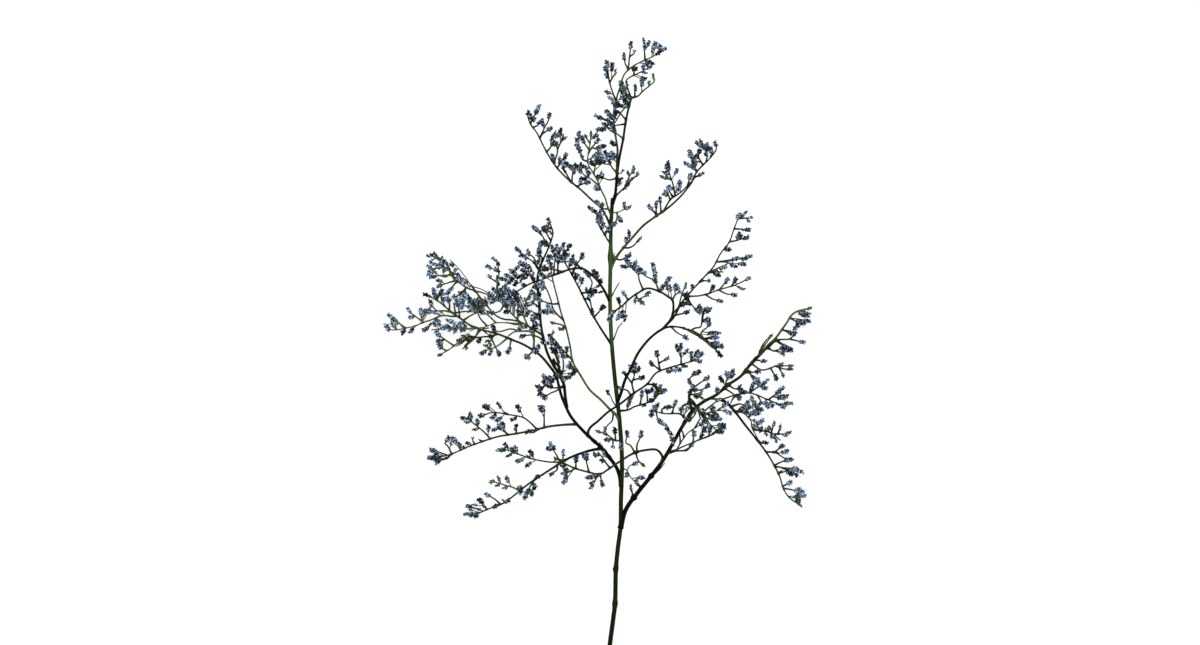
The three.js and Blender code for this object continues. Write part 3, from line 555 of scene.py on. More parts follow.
def addCore(heap, spine, start, ear, widths, tone):
    # the ear's core, painted dark as the shade that shows between its florets; widths are shares of the
    # ear, and radii there
    sides = earLook["sides"]
    steps = np.linspace(0, 1, earLook["coreRings"])
    run = start + ear * earLook["coreEnd"] * steps
    middle = np.array([placeOn(spine, along)[0] for along in run])
    rings = tubeRings(middle, np.interp(steps, *widths), sides)
    reach = np.repeat(np.interp(steps, *zip(*earLook["coreReach"])), sides)
    addSkin(heap, np.vstack(rings), joinRings(rings), reach, tone - earLook["paintedCoreShade"])


def addTuft(twigs, blooms, tuft, tone, looks):
    # an ear of small florets that press forward round a short core, on a green stalk
    look = tuft["look"]
    spine = findSpine(tuft)
    reach = lengths(spine)[-1]
    fullness = looks(*look["fullness"])
    start = max(reach - look["ear"] * fullness**0.5, earLook["leastStalk"] * reach)
    ear = reach - start
    shares, sizes = zip(*look["core"])
    widths = (shares, np.array(sizes) * fullness)
    addStalk(twigs, tuft, spine, start)
    addCore(blooms, spine, start, ear, widths, tone)

    count = max(earLook["fewest"], round(ear * fullness / look["apart"]))
    longest = look["length"][1]
    end = max(reach - earLook["lastStands"] * longest, start + earLook["leastRun"])
    roll = looks(0, 2 * math.pi)
    first, last = look["spread"]
    for k in range(-look["scales"], count):  # below 0 are the green scales, then the florets
        share = max(k, 0) / (count - 1)
        along = start + (end - start) * share
        if k < 0:
            along = start + (end - start) * earLook["scaleRun"] * (k + look["scales"]) / look["scales"]
        spot, ahead = placeOn(spine, along)
        # the little that is added gives an upright ear a level direction too
        level = unit(np.cross(ahead, [0, 0, 1]) + np.array([1e-4, 0, 0]))
        upward = np.cross(level, ahead)
        angle = roll + k * earLook["turn"] + looks(-earLook["swing"], earLook["swing"])
        outward = level * math.cos(angle) + upward * math.sin(angle)
        size = float(np.interp((along - start) / ear, *widths))
        tilt = math.radians(first + (last - first) * share) * looks(*earLook["tiltSpread"])
        heading = unit(ahead * math.cos(tilt) + outward * math.sin(tilt))
        length = looks(*look["length"])
        width = looks(*look["width"])
        light = tone + looks(-earLook["toneSpread"], earLook["toneSpread"])
        if k < 0:
            addCopy(blooms, scale, spot, heading, outward, length, width + size, light)
        else:
            kind = look["kinds"][int(looks(0, len(look["kinds"])))]
            spot = spot + earLook["standsOut"] * size * outward
            addCopy(blooms, calyxes[kind], spot, heading, outward, length, width, light)


growth = {
    "lowestTwig": 1,  # height above the table of the lowest twig's middle
    "lowestTuft": 1.3,  # of the lowest tuft's heart
    "lowestTip": 0.4,  # and of the lowest tuft's tip
    "endReach": 7,  # a tuft this close to a strand's end grows from the end itself
    "standOff": 3,  # tufts drawn on a twig stand this far above or below it
    "leanBack": 0.9,  # a tuft's root lies this share of its reach further back along its twig
    "onwardPull": 2,  # how much a tuft turns to its twig's own direction
    "step": 1.6,  # distance between two rings of a strand
    "twigRadius": (0.86, 0.68),
    "bractRadius": (1.2, 0.45),  # stubby dry leaves where twigs fork off
    "shadeSpread": 0.12,  # a twig may be this much lighter or darker than its spray says
    "endShare": 0.999,  # past this share of its last stretch, a place on a strand is its end
}

# Each spray has a seed of its own. The shades of its twigs and the looks of its tufts are drawn
# from seeds that are this much higher, so that a change to one leaves the others alone.
seedSteps = {"shades": 100, "tufts": 500}


def findHold(strands, spot):
    # the nearest place on any strand, seen flat on the sheet
    best = {"distance": math.inf}
    for strand in strands:
        path = strand["path"]
        along = np.diff(path, axis=0)
        flat = along[:, :2]
        share = ((spot[:2] - path[:-1, :2]) * flat).sum(axis=1) / ((flat**2).sum(axis=1) + tiny)
        share = share.clip(0, 1)
        feet = path[:-1] + along * share[:, None]
        distances = np.hypot(*(spot[:2] - feet[:, :2]).T)
        i = int(distances.argmin())
        if distances[i] < best["distance"]:
            best = {
                "strand": strand,
                "foot": feet[i],
                "run": lengths(path)[i] + share[i] * np.linalg.norm(along[i]),
                "along": along[i],
                "distance": distances[i],
                "isEnd": i == len(along) - 1 and share[i] > growth["endShare"],
            }
    return best


def liftTwig(strands, route, slope):
    # a twig forks off at its bough's height, and rises with its reach where no height is given
    hold = findHold(strands, toPart(route[0][0], route[0][1], 0))
    hold["strand"]["forks"].append(hold["foot"])
    lifted = [hold["foot"]]
    for x, y, height in route[1:]:
        spot = toPart(x, y, 0)
        before = lifted[-1]
        rise = before[2] + slope * math.hypot(*(spot - before)[:2])
        spot[2] = max(rise, growth["lowestTwig"]) if height is None else height
        lifted.append(spot)
    return lifted


def placeTuft(strands, drawn, look, rise, chance):
    # where a tuft that is drawn at one spot has its root, its heart and its tip
    spot = toPart(drawn[0], drawn[1], 0)
    hold = findHold(strands, spot)
    slope = chance(*rise)
    lean = chance(-1, 1)
    strand = hold["strand"]
    atEnd = hold["isEnd"] and hold["distance"] < growth["endReach"] and not strand["hasTuft"]
    lift = 0
    if not atEnd and hold["distance"] < growth["standOff"]:
        lift = math.copysign(growth["standOff"] - hold["distance"], lean) + lean
    floor = growth["lowestTuft"] * look["radius"] / tuftLook["radius"]
    height = hold["foot"][2] + slope * hold["distance"] + lift
    heart = spot + np.array([0, 0, max(height, floor)])
    root = hold["foot"]
    if not atEnd:
        back = growth["leanBack"] * max(hold["distance"], abs(lift))
        root = placeOn(strand["path"], max(hold["run"] - back, 0))[0]
    out = unit(heart - root + growth["onwardPull"] * unit(hold["along"]))
    tip = heart + out * look["past"]
    tip[2] = max(tip[2], growth["lowestTip"])
    strand["hasTuft"] = strand["hasTuft"] or atEnd
    return {
        "strand": strand, "shade": shadeAt(strand, hold["run"]), "look": look, "atEnd": atEnd,
        "root": root, "heart": heart, "tip": tip,
    }


def newStrand(points, radius, shade):
    # shade is how light the strand is at its root and at its tip
    return {
        "path": smoothPath(points, growth["step"]), "radius": radius, "shade": shade, "forks": [],
        "hasTuft": False,
    }


def shadeAt(strand, run):
    root, tip = strand["shade"]
    return root + (tip - root) * run / lengths(strand["path"])[-1]


def growSpray(spray):
    # a spray's strands, boughs first, and its tufts; what is finer than the solids comes last
    chance = makeChance(spray["seed"])
    shades = makeChance(spray["seed"] + seedSteps["shades"])
    shadeSpread = growth["shadeSpread"]
    strands = []
    tufts = []
    for bough in spray["boughs"]:
        points = [toPart(*spot) for spot in readRoute(bough["route"])]
        strands.append(newStrand(points, bough["radius"], bough["shade"]))
    for growing, usual in ((spray, tuftLook), (spray.get("fine", {}), smallTuftLook)):
        for key, radius in (("twigs", growth["twigRadius"]), ("bracts", growth["bractRadius"])):
            for twig in growing.get(key, []):
                points = liftTwig(strands, readRoute(twig), chance(*spray["rise"]))
                shade = spray["twigShade"] + shades(-shadeSpread, shadeSpread)
                strands.append(newStrand(points, radius, (shade, shade)))
                strands[-1]["hasTuft"] = key == "bracts"
        for key, look in (("tufts", usual), ("darkTufts", usual), ("buds", budLook)):
            for spot in readRoute(growing.get(key, "")):
                tuft = placeTuft(strands, spot, look, spray["rise"], chance)
                tuft["kind"] = key
                tufts.append(tuft)
    return strands, tufts


strandLook = {
    "rootSwell": 0.4,  # a root is this much thicker again, and slims over rootRun
    "rootRun": 5,
    "forkSwell": 0.3,  # a fork is this much thicker again, and slims over forkRun
    "forkRun": 1.8,
    "thick": 0.75,  # strands thicker than this are rounder than the others
    "thickSides": 8,
    "thinSides": 6,
    "point": 0.9,  # length of the pointed end
    # the dry scale at each fork
    "scaleLength": 2.6,
    "scaleWidth": 3.0,
    "scaleRise": 0.4,  # how much it faces up
    "scaleLighter": 0.15,  # than the strand
}


def addStrand(heap, strand):
    # a round, tapering strand, thicker at its root and where something forks off, ending in a point
    look = strandLook
    path = strand["path"]
    run = lengths(path)
    thick, thin = strand["radius"]
    radii = thick + (thin - thick) * run / run[-1]
    radii = radii * (1 + look["rootSwell"] * np.exp(-run / look["rootRun"]))
    for fork in strand["forks"]:
        away = np.linalg.norm(path - fork, axis=1)
        radii = radii * (1 + look["forkSwell"] * np.exp(-((away / look["forkRun"]) ** 2)))
    sides = look["thickSides"] if thick > look["thick"] else look["thinSides"]
    last = path[-1] + unit(path[-1] - path[-2]) * look["point"]
    rings = [*tubeRings(path, radii, sides), last[None]]
    points = np.vstack(rings)
    along = np.append(np.repeat(run, sides), run[-1])
    addSkin(heap, points, joinRings(rings), along, shadeAt(strand, along))
    for fork in strand["forks"]:
        near = int(np.linalg.norm(path - fork, axis=1).argmin())
        ahead = unit(path[min(near + 1, len(path) - 1)] - path[max(near - 1, 0)])
        outward = np.array([ahead[1], -ahead[0], look["scaleRise"]])
        shade = shadeAt(strand, run[near]) + look["scaleLighter"]
        addCopy(heap, scale, fork, ahead, outward, look["scaleLength"], look["scaleWidth"], shade)


# How light tufts are, from 0 to 1.
tones = {
    "spread": 0.3,  # a tuft may be this much lighter or darker than its spray says
    "darkTufts": 0.05,
    "budsLighter": 0.4,  # than tufts
}


def makeSpray(spray):
    node = spray["node"]
    strands, tufts = growSpray(spray)
    looks = makeChance(spray["seed"] + seedSteps["tufts"])
    twigs = newHeap()
    blooms = newHeap()
    for strand in strands:
        addStrand(twigs, strand)
    for tuft in tufts:
        tone = spray["tone"] + looks(-tones["spread"], tones["spread"])
        if tuft["kind"] == "darkTufts":
            tone = tones["darkTufts"]
        if tuft["kind"] == "buds":
            tone = tone + tones["budsLighter"]
        addTuft(twigs, blooms, tuft, tone, looks)
    makePiece(node + "_twigs", twigs, twigBark, node)
    makePiece(node + "_florets", blooms, floretPaper, node)
    print(node, "made: strands", len(strands), "tufts", len(tufts))


# The stem and the sprays are drawn as spots on the sheet: "x,y" or "x,y,height". A bough, a twig
# or a bract is a row of spots from its root on, and a tuft or a bud is one spot. "radius" and
# "shade" are given at a bough's root and at its tip, and "rise" is how steeply twigs climb, at least
# and at most. "twigShade" and "tone" are how light twigs and tufts are. "seed" is where a spray's
# chance starts, and "fine" is what is finer than the solids.
mainStem = {
    "node": "main_stem",
    "seed": 1,
    "radius": (2.45, 1.9),
    "sides": 20,
    "step": 2.0,  # from one ring of the bark to the next
    "ridge": 0.035,  # how far its ridges stand out, as a share of its radius
    "route": (
        "604,737,2.1 605,705,3.2 607,675,4.7 610,645,6.5 613,622,8.5 615,605,10 616,569,14 618,548,16.5 "
        "620.5,528,19 621,500,22.5 622,460,27.5 619.5,420,32 615,380,36 611.5,340,39 610,300,41.5 "
        "610.5,260,43.5 611,225,44.5 612.5,198,45"
    ),
    # joints where leaves once grew: x, y, height, radius, run
    "joints": [(614.6, 569, 14, 2.9, 3), (616.2, 605, 10, 3.1, 3.2), (611.6, 257, 43.6, 3.1, 6)],
    # how light the bark is, by y on the sheet
    "light": [
        (198, 0.15), (206, 0.35), (215, 0.65), (240, 0.76), (260, 0.88), (290, 0.8), (335, 0.87),
        (355, 0.63), (380, 0.58), (440, 0.55), (500, 0.45), (590, 0.4), (605, 0.48), (620, 0.3),
        (737, 0.3),
    ],
    "paintedRightLight": 0.14,  # painted light: the bark is this much lighter to the right
    "paintedSideShade": 0.34,  # painted shade: and this much darker at its sides than on top
    # both ends are cut: share of the radius, and how much pith shows there
    "footCut": [(0.05, 1), (0.55, 0.8), (0.93, 0.4)],
    "topCut": [(0.9, 0.3), (0.5, 0.5), (0.05, 0.6)],
    "footTone": 0.5,  # how light the cut skin is
    "topTone": 0.1,
    # dry scales that leaves have left: x, y, height, length, width, how far right they face, shade
    "scars": [
        (613.4, 266, 43.5, 15, 7, 1, 0.8),
        (616.6, 608, 9.6, 6.5, 6, 1, 1),
        (613.6, 573, 13.4, 5, 5, -1, 0.6),
    ],
    "scarRise": 0.6,  # how much they face up
    "rise": (0, 0.2),
    "twigShade": 0.6,
    "tone": 0.5,
    "boughs": [
        {"radius": (0.75, 0.6), "shade": (0.7, 0.7), "route": "610.3,299,41.5 616,288,44 619,283,45"},
        {
            "radius": (0.75, 0.6),
            "shade": (0.7, 0.7),
            "route": "611.7,344,38.7 615,336,41 618,328,43 622,323,44",
        },
        {
            "radius": (0.75, 0.6),
            "shade": (0.6, 0.6),
            "route": "617.6,408,33 613,402,32 611,397,31 608,393,30.5",
        },
        {"radius": (0.75, 0.6), "shade": (0.6, 0.6), "route": "622,453,28.3 621,448,35"},
    ],
    "tufts": "621,447",
    "buds": "608,392",
}


def makeBark(stem):
    points = [toPart(*spot) for spot in readRoute(stem["route"])]
    path = smoothPath(points, stem["step"])
    run = lengths(path)
    foot, top = stem["radius"]
    radii = foot + (top - foot) * run / run[-1]
    for x, y, height, radius, spread in stem["joints"]:
        away = np.linalg.norm(path - toPart(x, y, height), axis=1)
        near = int(away.argmin())
        radii = radii + (radius - radii[near]) * np.exp(-((away / spread) ** 2))
    sides = stem["sides"]
    bark = tubeRings(path, radii, sides, stem["ridge"])
    light = np.interp(sheet["middleY"] - path[:, 1], *zip(*stem["light"]))
    facing = np.array([(ring - middle) / radius for ring, middle, radius in zip(bark, path, radii)])
    # painted light on the bark's right side, and painted shade at its sides below the top
    light = light[:, None] + stem["paintedRightLight"] * facing[:, :, 0]
    light = light - stem["paintedSideShade"] * (1 - facing[:, :, 2])

    # the skin turns in over the cut faces to the pith
    footShares, footPith = zip(*stem["footCut"])
    topShares, topPith = zip(*stem["topCut"])
    footRings = [path[0] + (bark[0] - path[0]) * share for share in footShares]
    topRings = [path[-1] + (bark[-1] - path[-1]) * share for share in topShares]
    rings = [*footRings, *bark, *topRings]
    cut = np.concatenate([footPith, np.zeros(len(path)), topPith])
    footTones = np.full(len(footRings) * sides, stem["footTone"])
    topTones = np.full(len(topRings) * sides, stem["topTone"])
    tone = np.concatenate([footTones, light.ravel(), topTones])
    heap = newHeap()
    addSkin(heap, np.vstack(rings), joinRings(rings), np.repeat(cut, sides), tone)
    makePiece("main_stem_bark", heap, stemBark, stem["node"])
    print("main stem's bark made: rings", len(rings))


def makeShoots(stem):
    strands, tufts = growSpray(stem)
    looks = makeChance(stem["seed"] + seedSteps["tufts"])
    twigs = newHeap()
    blooms = newHeap()
    for strand in strands:
        addStrand(twigs, strand)
    for tuft in tufts:
        addTuft(twigs, blooms, tuft, stem["tone"], looks)
    upStem = np.array([0, 1.0, 0])
    for x, y, height, length, width, right, shade in stem["scars"]:
        outward = np.array([right, 0, stem["scarRise"]])
        addCopy(twigs, scale, toPart(x, y, height), upStem, outward, length, width, shade)
    makePiece("main_stem_shoots", twigs, twigBark, stem["node"])
    makePiece("main_stem_florets", blooms, floretPaper, stem["node"])
    print("main stem's shoots made: strands", len(strands), "tufts", len(tufts))


makeBark(mainStem)
makeShoots(mainStem)

crownSpray = {
    "node": "crown_spray",
    "seed": 2,
    "rise": (-0.35, 0.5),
    "twigShade": 0.6,
    "tone": 0.35,
    "boughs": [
        {
            "radius": (1.5, 1.05),
            "shade": (0.02, 0.5),
            "route": "612.5,204,45 615,196,46 617,175,47 619,160,47 623,140,46 626,120,45 631,98,43",
        },
        {
            "radius": (1.2, 0.7),
            "shade": (0.6, 0.75),
            "route": (
                "617,174,47 617,160,49 617.5,150,51 615,133,53 613.5,115,53 617,97,51 621,85,48 "
                "624,75,46 632,67,44 641,62,43 652,57,42 663,50,40"
            ),
        },
    ],
    "twigs": [
        "631,98 638,96 643,91 648,87 654,82", "631,98 627,86 626,81 629,78 638,73.5 643,71.5",
        "635,98 635,87", "628,70 629,62 630.5,48", "630,57 634,54", "628,70 625,63 624,58",
        "645,60 644.5,52 644,42", "615,101 612,91 609,81 608,75", "610,83 615,74",
        "614,128 608,122 602,118", "614,131 607,128 602,130", "623.5,139 615.5,133,53",
        "624.5,124 614.5,126,53", "629,107 625,108 621,113 615,123,53", "625.5,120 619,112",
        "615,197 622,190 631,181 637,175", "627,185 629,177 633,171",
        "617,173 613,169 610,165,44 604,164,42", "617,178 610,180,44 603,178,42",
    ],
    "tufts": (
        "642,82 643,78 621,84 625,88 621,91 626,95 622,98 625,102 643,67 645,65 649,68 630.5,46 624,57 "
        "645,48 648,44 653,49 655,45 660,48 663,50 658,53 647,62 651,63 607,77 606,70 607,64 612,67 "
        "611,99 608,93 608,113 610,117 609,122 606,126 611,125 604,129 598,117 602,119 615,114 613,118 "
        "619,181 627,184 633,170 611,157 606,154 613,155 615,157 609,161"
    ),
    "darkTufts": "634,69 620,106 617,106 600,130 613,144 600,177",
    "buds": "635.5,89 649,83 653,76 645,73 634,53 643.5,40 615,72 628,173 637,174",
    "fine": {
        "twigs": ["634,75.5 634,71", "628,104 626,99 624,95"],
        "bracts": [
            "615,133 609,130 605,126", "616,131 611,127 608,124", "632,100 628,98 626,93",
            "616,107 613,103", "606,121 602,119",
        ],
        "tufts": (
            "613,102 615,105 612,124 622,84 625,87 622,90 625,94 622,97 622,172 620,184 626,186 "
            "629,182 632,179 620,83 627,84 621,89 625,91 623,95 627,97 624,100 613,104 617,103 615,110 "
            "619,112 635,90 635,86 642,84 643,80 618,183 624,189 628,185"
        ),
        "darkTufts": "634,69 614,118 623,93 618,107",
        "buds": "612,131 630,47",
    },
}
makeSpray(crownSpray)

upperLeftSpray = {
    "node": "upper_left_spray",
    "seed": 3,
    "rise": (-0.4, 0.35),
    "twigShade": 0.55,
    "tone": 0.42,
    "boughs": [
        {
            "radius": (1.2, 0.7),
            "shade": (0.65, 0.4),
            "route": (
                "610.8,227,44.4 606,216,43.5 600,207,43 594,202,42 580,189,40 570,181,38 558,169,36 "
                "549,156,33 543,145,31 537,133,29 530,123,27 527.5,115,26 528,110,25"
            ),
        },
    ],
    "twigs": [
        "577,186 585,183", "572,182 573,169", "571,181 565,171 563,166", "557,168 561,162 566,155",
        "554,163 556,157 557.5,151 556,143", "557,149 561,142 565,138", "546,152 551,146 552,137",
        "540,138 542,133 545,126 548,121 549,116", "542,134 549,129", "533,127 538,125",
        "530,124 532,119 537,110",
    ],
    "tufts": (
        "581,180 585,180 587,183 571,168 573,168 564,165 566,165 560,161 563,163 565,156 554,142 "
        "560,132 552,144 553,157 549,116 542,122 549,129 538,124 536,111 538,107 533,119 528,113 "
        "530,117"
    ),
    "buds": "574,173 557,134 565,138 552,137",
    "fine": {
        "bracts": ["556,137 556,130", "552,160 556,163", "553,143 551,138", "566,172 562,168"],
        "tufts": "566,156 563,160 565,164 559,163 557,137 559,134 562,139 563,136 552,141",
        "darkTufts": "563,162 554,145",
        "buds": "574,170",
    },
}
makeSpray(upperLeftSpray)

leftShootSpray = {
    "node": "left_shoot_spray",
    "seed": 4,
    "rise": (0, 0.5),
    "twigShade": 0.75,
    "tone": 0.4,
    "boughs": [
        {
            "radius": (0.9, 0.6),
            "shade": (0.75, 0.75),
            "route": (
                "611.2,216,44.7 608,208,48 605,198,50 601,190,52 597,180,54 593,173,55 588,164,56 "
                "588,156,57 590,145,58 591,135,58"
            ),
        },
    ],
    "twigs": [
        "600,187 592,180 587,177 583,174 581,169", "594,174 595,168 595.5,163",
        "587,162 583,160 581,156", "582,159 580,151 577,143", "589,150 584,143", "590,144 586,138",
        "589,154 592,148 597,142", "592,148 597,150 600,152", "608,209 604,209 600,206",
    ],
    "tufts": (
        "577,167 581,167 586,168 588,173 581,172 597,189 592,164 596,164 601,161 605,161 582,157 "
        "580,152 578,147 577,142 583,140 579,136 597,142 600,153 599,156 602,147 594,156 597,158 "
        "595,137 598,203 603,206"
    ),
    "buds": "600,147 591,134",
    "fine": {
        "bracts": ["605,165 600,164 596,161", "610,166 605,163"],
        "tufts": "580,137 582,141 578,135 584,143",
        "darkTufts": "600,163 597,162 604,163 603,176 601,174 598,178",
        "buds": "586,137",
    },
}
makeSpray(leftShootSpray)

topSprig = {
    "node": "top_sprig",
    "seed": 5,
    "rise": (0.1, 0.4),
    "twigShade": 0.9,
    "tone": 0.6,
    "boughs": [
        {"radius": (0.6, 0.5), "shade": (0.8, 0.8), "route": "611.8,213,44.8 619,212,46 624,209,47"},
    ],
    "twigs": ["617,212 617,218,51 615,224,53"],
    "tufts": "624,205 628,208 618,217 614,224 620,220",
}
makeSpray(topSprig)

smallLeftSpray = {
    "node": "small_left_spray",
    "seed": 6,
    "rise": (0.1, 0.4),
    "twigShade": 0.5,
    "tone": 0.5,
    "boughs": [
        {
            "radius": (0.9, 0.6),
            "shade": (0.5, 0.5),
            "route": "610.8,244,43.9 607,239,47 605,235,50 602,230,52 599,225,53",
        },
    ],
    "twigs": ["605,235 608,230,54", "599,225 598,217 595,211"],
    "tufts": "598,222 600,220 598,216 603,226 600,213 595,212 591,209 608,229",
    "fine": {
        "bracts": ["602,230 599,225 597,219", "605,235 602,231"],
        "tufts": "600,217 602,222 596,213 604,214 598,219 598,222 606,232 592,211",
    },
}
makeSpray(smallLeftSpray)

upperRightSpray = {
    "node": "upper_right_spray",
    "seed": 7,
    "rise": (-0.4, 0.4),
    "twigShade": 0.45,
    "tone": 0.52,
    "boughs": [
        {
            "radius": (1.4, 0.75),
            "shade": (0.8, 0.3),
            "route": (
                "610.3,270,43 612.3,265,43.6 615.5,258.5,45 620,252,46.5 625,246,48 633,237,50 "
                "643,226,52 655,217,52 668,208,50 680,197,47 686,190,45 692,182,43 696,173,41 "
                "703,165,39 710,158,37 716,150,35 716.5,146,34"
            ),
        },
    ],
    "twigs": [
        "663,211 671,199 680,193 692,181", "657,216 651,209", "656,216 656,206", "661,213 660,201",
        "670,200 668,194", "675,196 673,185 670,176 668,170", "688,186 690,177", "694,178 701,174",
        "697,172 693,165 690,155", "703,165 699,158 698,152", "706,161 707,153 702,145",
        "624,248 628,248 633,246 638,241", "615.5,258.5 620,260 624,258.5 628,255.5",
    ],
    "tufts": (
        "656,205 660,200 666,195 668,190 670,188 667,168 676,172 677,191 680,184 695,165 693,160 "
        "690,153 697,158 699,153 691,166 687,164 706,155 708,150 707,147 711,150 703,147 701,143 "
        "698,144 715.5,144 701,174 690,177 650,208 626,241 629,234 628,256"
    ),
    "darkTufts": "668,165",
    "buds": "664,173 662,177 667,178 640,239",
    "fine": {
        "bracts": [
            "656,214 652,210 651,207", "672,196 669,191", "662,173 665,172", "664,178 668,179",
            "696,170 694,166",
        ],
        "tufts": (
            "695,162 697,155 692,156 699,176 665,192 669,188 679,182 694,168 707,158 698,162 686,163 "
            "689,166 692,168 689,176 691,179 711,156"
        ),
        "darkTufts": "669,167 666,168 693,167",
    },
}
makeSpray(upperRightSpray)

rightMiddleSpray = {
    "node": "right_middle_spray",
    "seed": 8,
    "rise": (-0.35, 0.45),
    "twigShade": 0.55,
    "tone": 0.4,
    "boughs": [
        {
            "radius": (1.6, 0.9),
            "shade": (0.08, 0.5),
            "route": (
                "617.2,402,34 621,393,41 625,380,48 630,370,53 638,353,58 649,339,62 656,333,64 "
                "663,328,65 671,318,67 673,310,68 672,300,69 668,297,69 660,292,69 647,288.5,69 "
                "638,293,68 628,300,66 622,306,64 613,312,61"
            ),
        },
        {
            "radius": (1.05, 0.65),
            "shade": (0.3, 0.45),
            "route": (
                "665,326,65.5 673,318,66 682,302,67 692,290,67 703,278,66 713,267,64 720,254,62 "
                "729,242,59 733,231,57 738,218,54"
            ),
        },
        {
            "radius": (1.05, 0.65),
            "shade": (0.2, 0.35),
            "route": "657,332,64 668,327,63 683,328,62 697,335,60 709,342,57 719,354,52",
        },
    ],
    "twigs": [
        "643,290 639,280 638,275 634,270", "637,272 629,264", "659,291 654,281 645,276 641,272",
        "672,300 675,295 679,292", "636,295 638,299 645,296", "628,300 624,294", "620,307 619,301",
        "738,219 744,218.5 750,218", "734,229 747,230", "729,242 735,241 745,238",
        "716,262 723,262 730,261", "708,273 716,269 727,264", "701,281 706,281",
        "687,297 698,296 707,294 718,290 735,285 747,279", "709,293 712,288", "719,289 726,281",
        "731,286 734,281", "718,290 726,294 733,295", "705,295 712,299 719,301",
        "673,314 678,307 680,300 682,293 685,286", "687,297 690,303 694,308",
        "690,331 695,328 700,327 703,316 705,308", "700,336 702,331 706,328 709,325",
        "671,328 676,332 685,337",
    ],
    "tufts": (
        "638,273 635,265 633,268 641,271 628,262 624,267 653,266 654,271 655,277 655,281 662,288 "
        "667,287 670,289 675,287 678,290 668,280 647,294 641,302 624,294 619,301 622,315 625,318 "
        "618,317 611,313 610,318 747,230 745,238 738,236 727,250 735,259 744,259 748,257 742,264 "
        "733,266 717,275 723,267 706,281 712,288 726,281 734,281 747,279 733,295 719,301 739,216 "
        "692,288 684,295 686,298 688,302 682,305 686,312 698,311 700,308 708,310 708,322 706,320 "
        "713,333 716,333 714,338 716,343 720,346 685,337"
    ),
    "darkTufts": "719,354",
    "buds": "635,301 742,289 745,213 750,218 748,221 685,285",
    "fine": {
        "bracts": [
            "699,337 705,341 711,346 716,351", "690,330 697,335", "683,328 690,331",
            "709,273 714,272 717,270", "725,248 727,246", "683,304 687,303", "701,283 704,281",
            "688,329 696,333 703,338", "692,331 700,335 707,341", "690,332.5 698,336 706,341",
            "700,337 706,342 712,348", "703,306 702.5,314 701,324",
        ],
        "tufts": (
            "709,334 712,333 716,337 715,342 718,344 711,338 713,336 720,269 626,262 631,266 635,264 "
            "638,268 737,217 741,217 742,230 738,239 741,237 745,239 720,272 724,268 717,276 707,322 "
            "709,325 628,264 633,268 640,270 645,273 636,262 706,309 708,312"
        ),
        "darkTufts": "716,272 715,275 684,304 688,302 715,347 718,352 686,313 635,265 654,277",
    },
}
makeSpray(rightMiddleSpray)

crossingRightSpray = {
    "node": "crossing_right_spray",
    "seed": 9,
    "rise": (-0.2, 0.15),
    "twigShade": 0.45,
    "tone": 0.28,
    "boughs": [
        {
            "radius": (1.4, 0.75),
            "shade": (0.1, 0.45),
            "route": (
                "593,441,23.8 588,434,30 590,428,35 598,421,40 608,412,43 620,404,44 634,393,45.5 "
                "647,384,47 656,373,48 668,368,48 682,364,47 696,360,46"
            ),
        },
    ],
    "twigs": [
        "634,393 632,383,44 634,377,43 635,371,42", "632,383 625,374,43", "633,380 641,378,43",
        "631,396 628,391 620,388,46", "647,384 654,385 660,390", "660,371 659,365 657,354",
        "660,363 666,359", "659,370 652,364", "681,364 681,353", "691,362 691,355",
    ],
    "tufts": (
        "635,366 631,368 638,370 633,371 625,374 641,378 620,388 654,385 657,354 666,359 652,364 "
        "668,371 673,370 678,369 683,366 681,347 677,348 686,352 691,355 698,361 700,355 697,353"
    ),
    "buds": "660,390",
    "fine": {
        "bracts": ["654,387 658,391 664,391", "635,372 634,368"],
        "darkTufts": "632,369 651,362 679,348",
    },
}
makeSpray(crossingRightSpray)

innerRightSprig = {
    "node": "inner_right_sprig",
    "seed": 10,
    "rise": (-0.35, 0.1),
    "twigShade": 0.6,
    "tone": 0.33,
    "boughs": [
        {
            "radius": (1, 0.65),
            "shade": (0.3, 0.4),
            "route": "618.6,411,33 628,410,32 634,407,31 644,404,30 653,401,29",
        },
    ],
    "twigs": ["640,405 642,395", "648,403 647,393", "653,401 659,393"],
    "tufts": "631,398 629,403 643,405 651,401 655,397 656,394 660,388 664,391 651,391 642,394 647,392",
    "buds": "658,391",
    "fine": {
        "bracts": ["655,397 658,391 663,391", "641,397 642,392", "660,392 659,386"],
        "darkTufts": "648,393 652,401",
    },
}
makeSpray(innerRightSprig)

greenLeftSpray = {
    "node": "green_left_spray",
    "seed": 11,
    "rise": (-0.1, 0.35),
    "twigShade": 0.55,
    "tone": 0.38,
    "boughs": [
        {
            "radius": (1.3, 0.65),
            "shade": (0.85, 0.55),
            "route": (
                "619.6,422,31.8 616,415,35 611,410.5,37.5 601,400,43 590,390,49 581,376,55 573,362,59 "
                "570,345,62 566,328,64 561,312,66 557,296,68 553,280,69 551,268,69 550,260,69"
            ),
        },
    ],
    "twigs": [
        "577,370 570,377", "572,360 565,352 560,347 556,341 551,336", "566,328 562,325 553,323",
        "563,320 557,314 553,308 551,300 548,292 545,286", "558,304 552,304 545,302 540,300",
        "613,413 612,421,33 608,425,31 605,429,30",
    ],
    "tufts": (
        "567,378 573,374 570,367 563,352 560,348 557,345 553,340 551,337 549,343 567,350 565,357 "
        "562,329 553,311 548,311 545,312 549,307 540,300 605,430 543,283 541,286 542,275"
    ),
    "buds": "553,333 553,323",
    "fine": {
        "twigs": ["574,371 572,366 569,361", "560,350 555,345 549,343"],
        "bracts": ["576,371 572,373 568,374", "574,370 571,364"],
        "tufts": "572,373 565,377",
        "darkTufts": "574,372 571,365 554,344",
    },
}
makeSpray(greenLeftSpray)

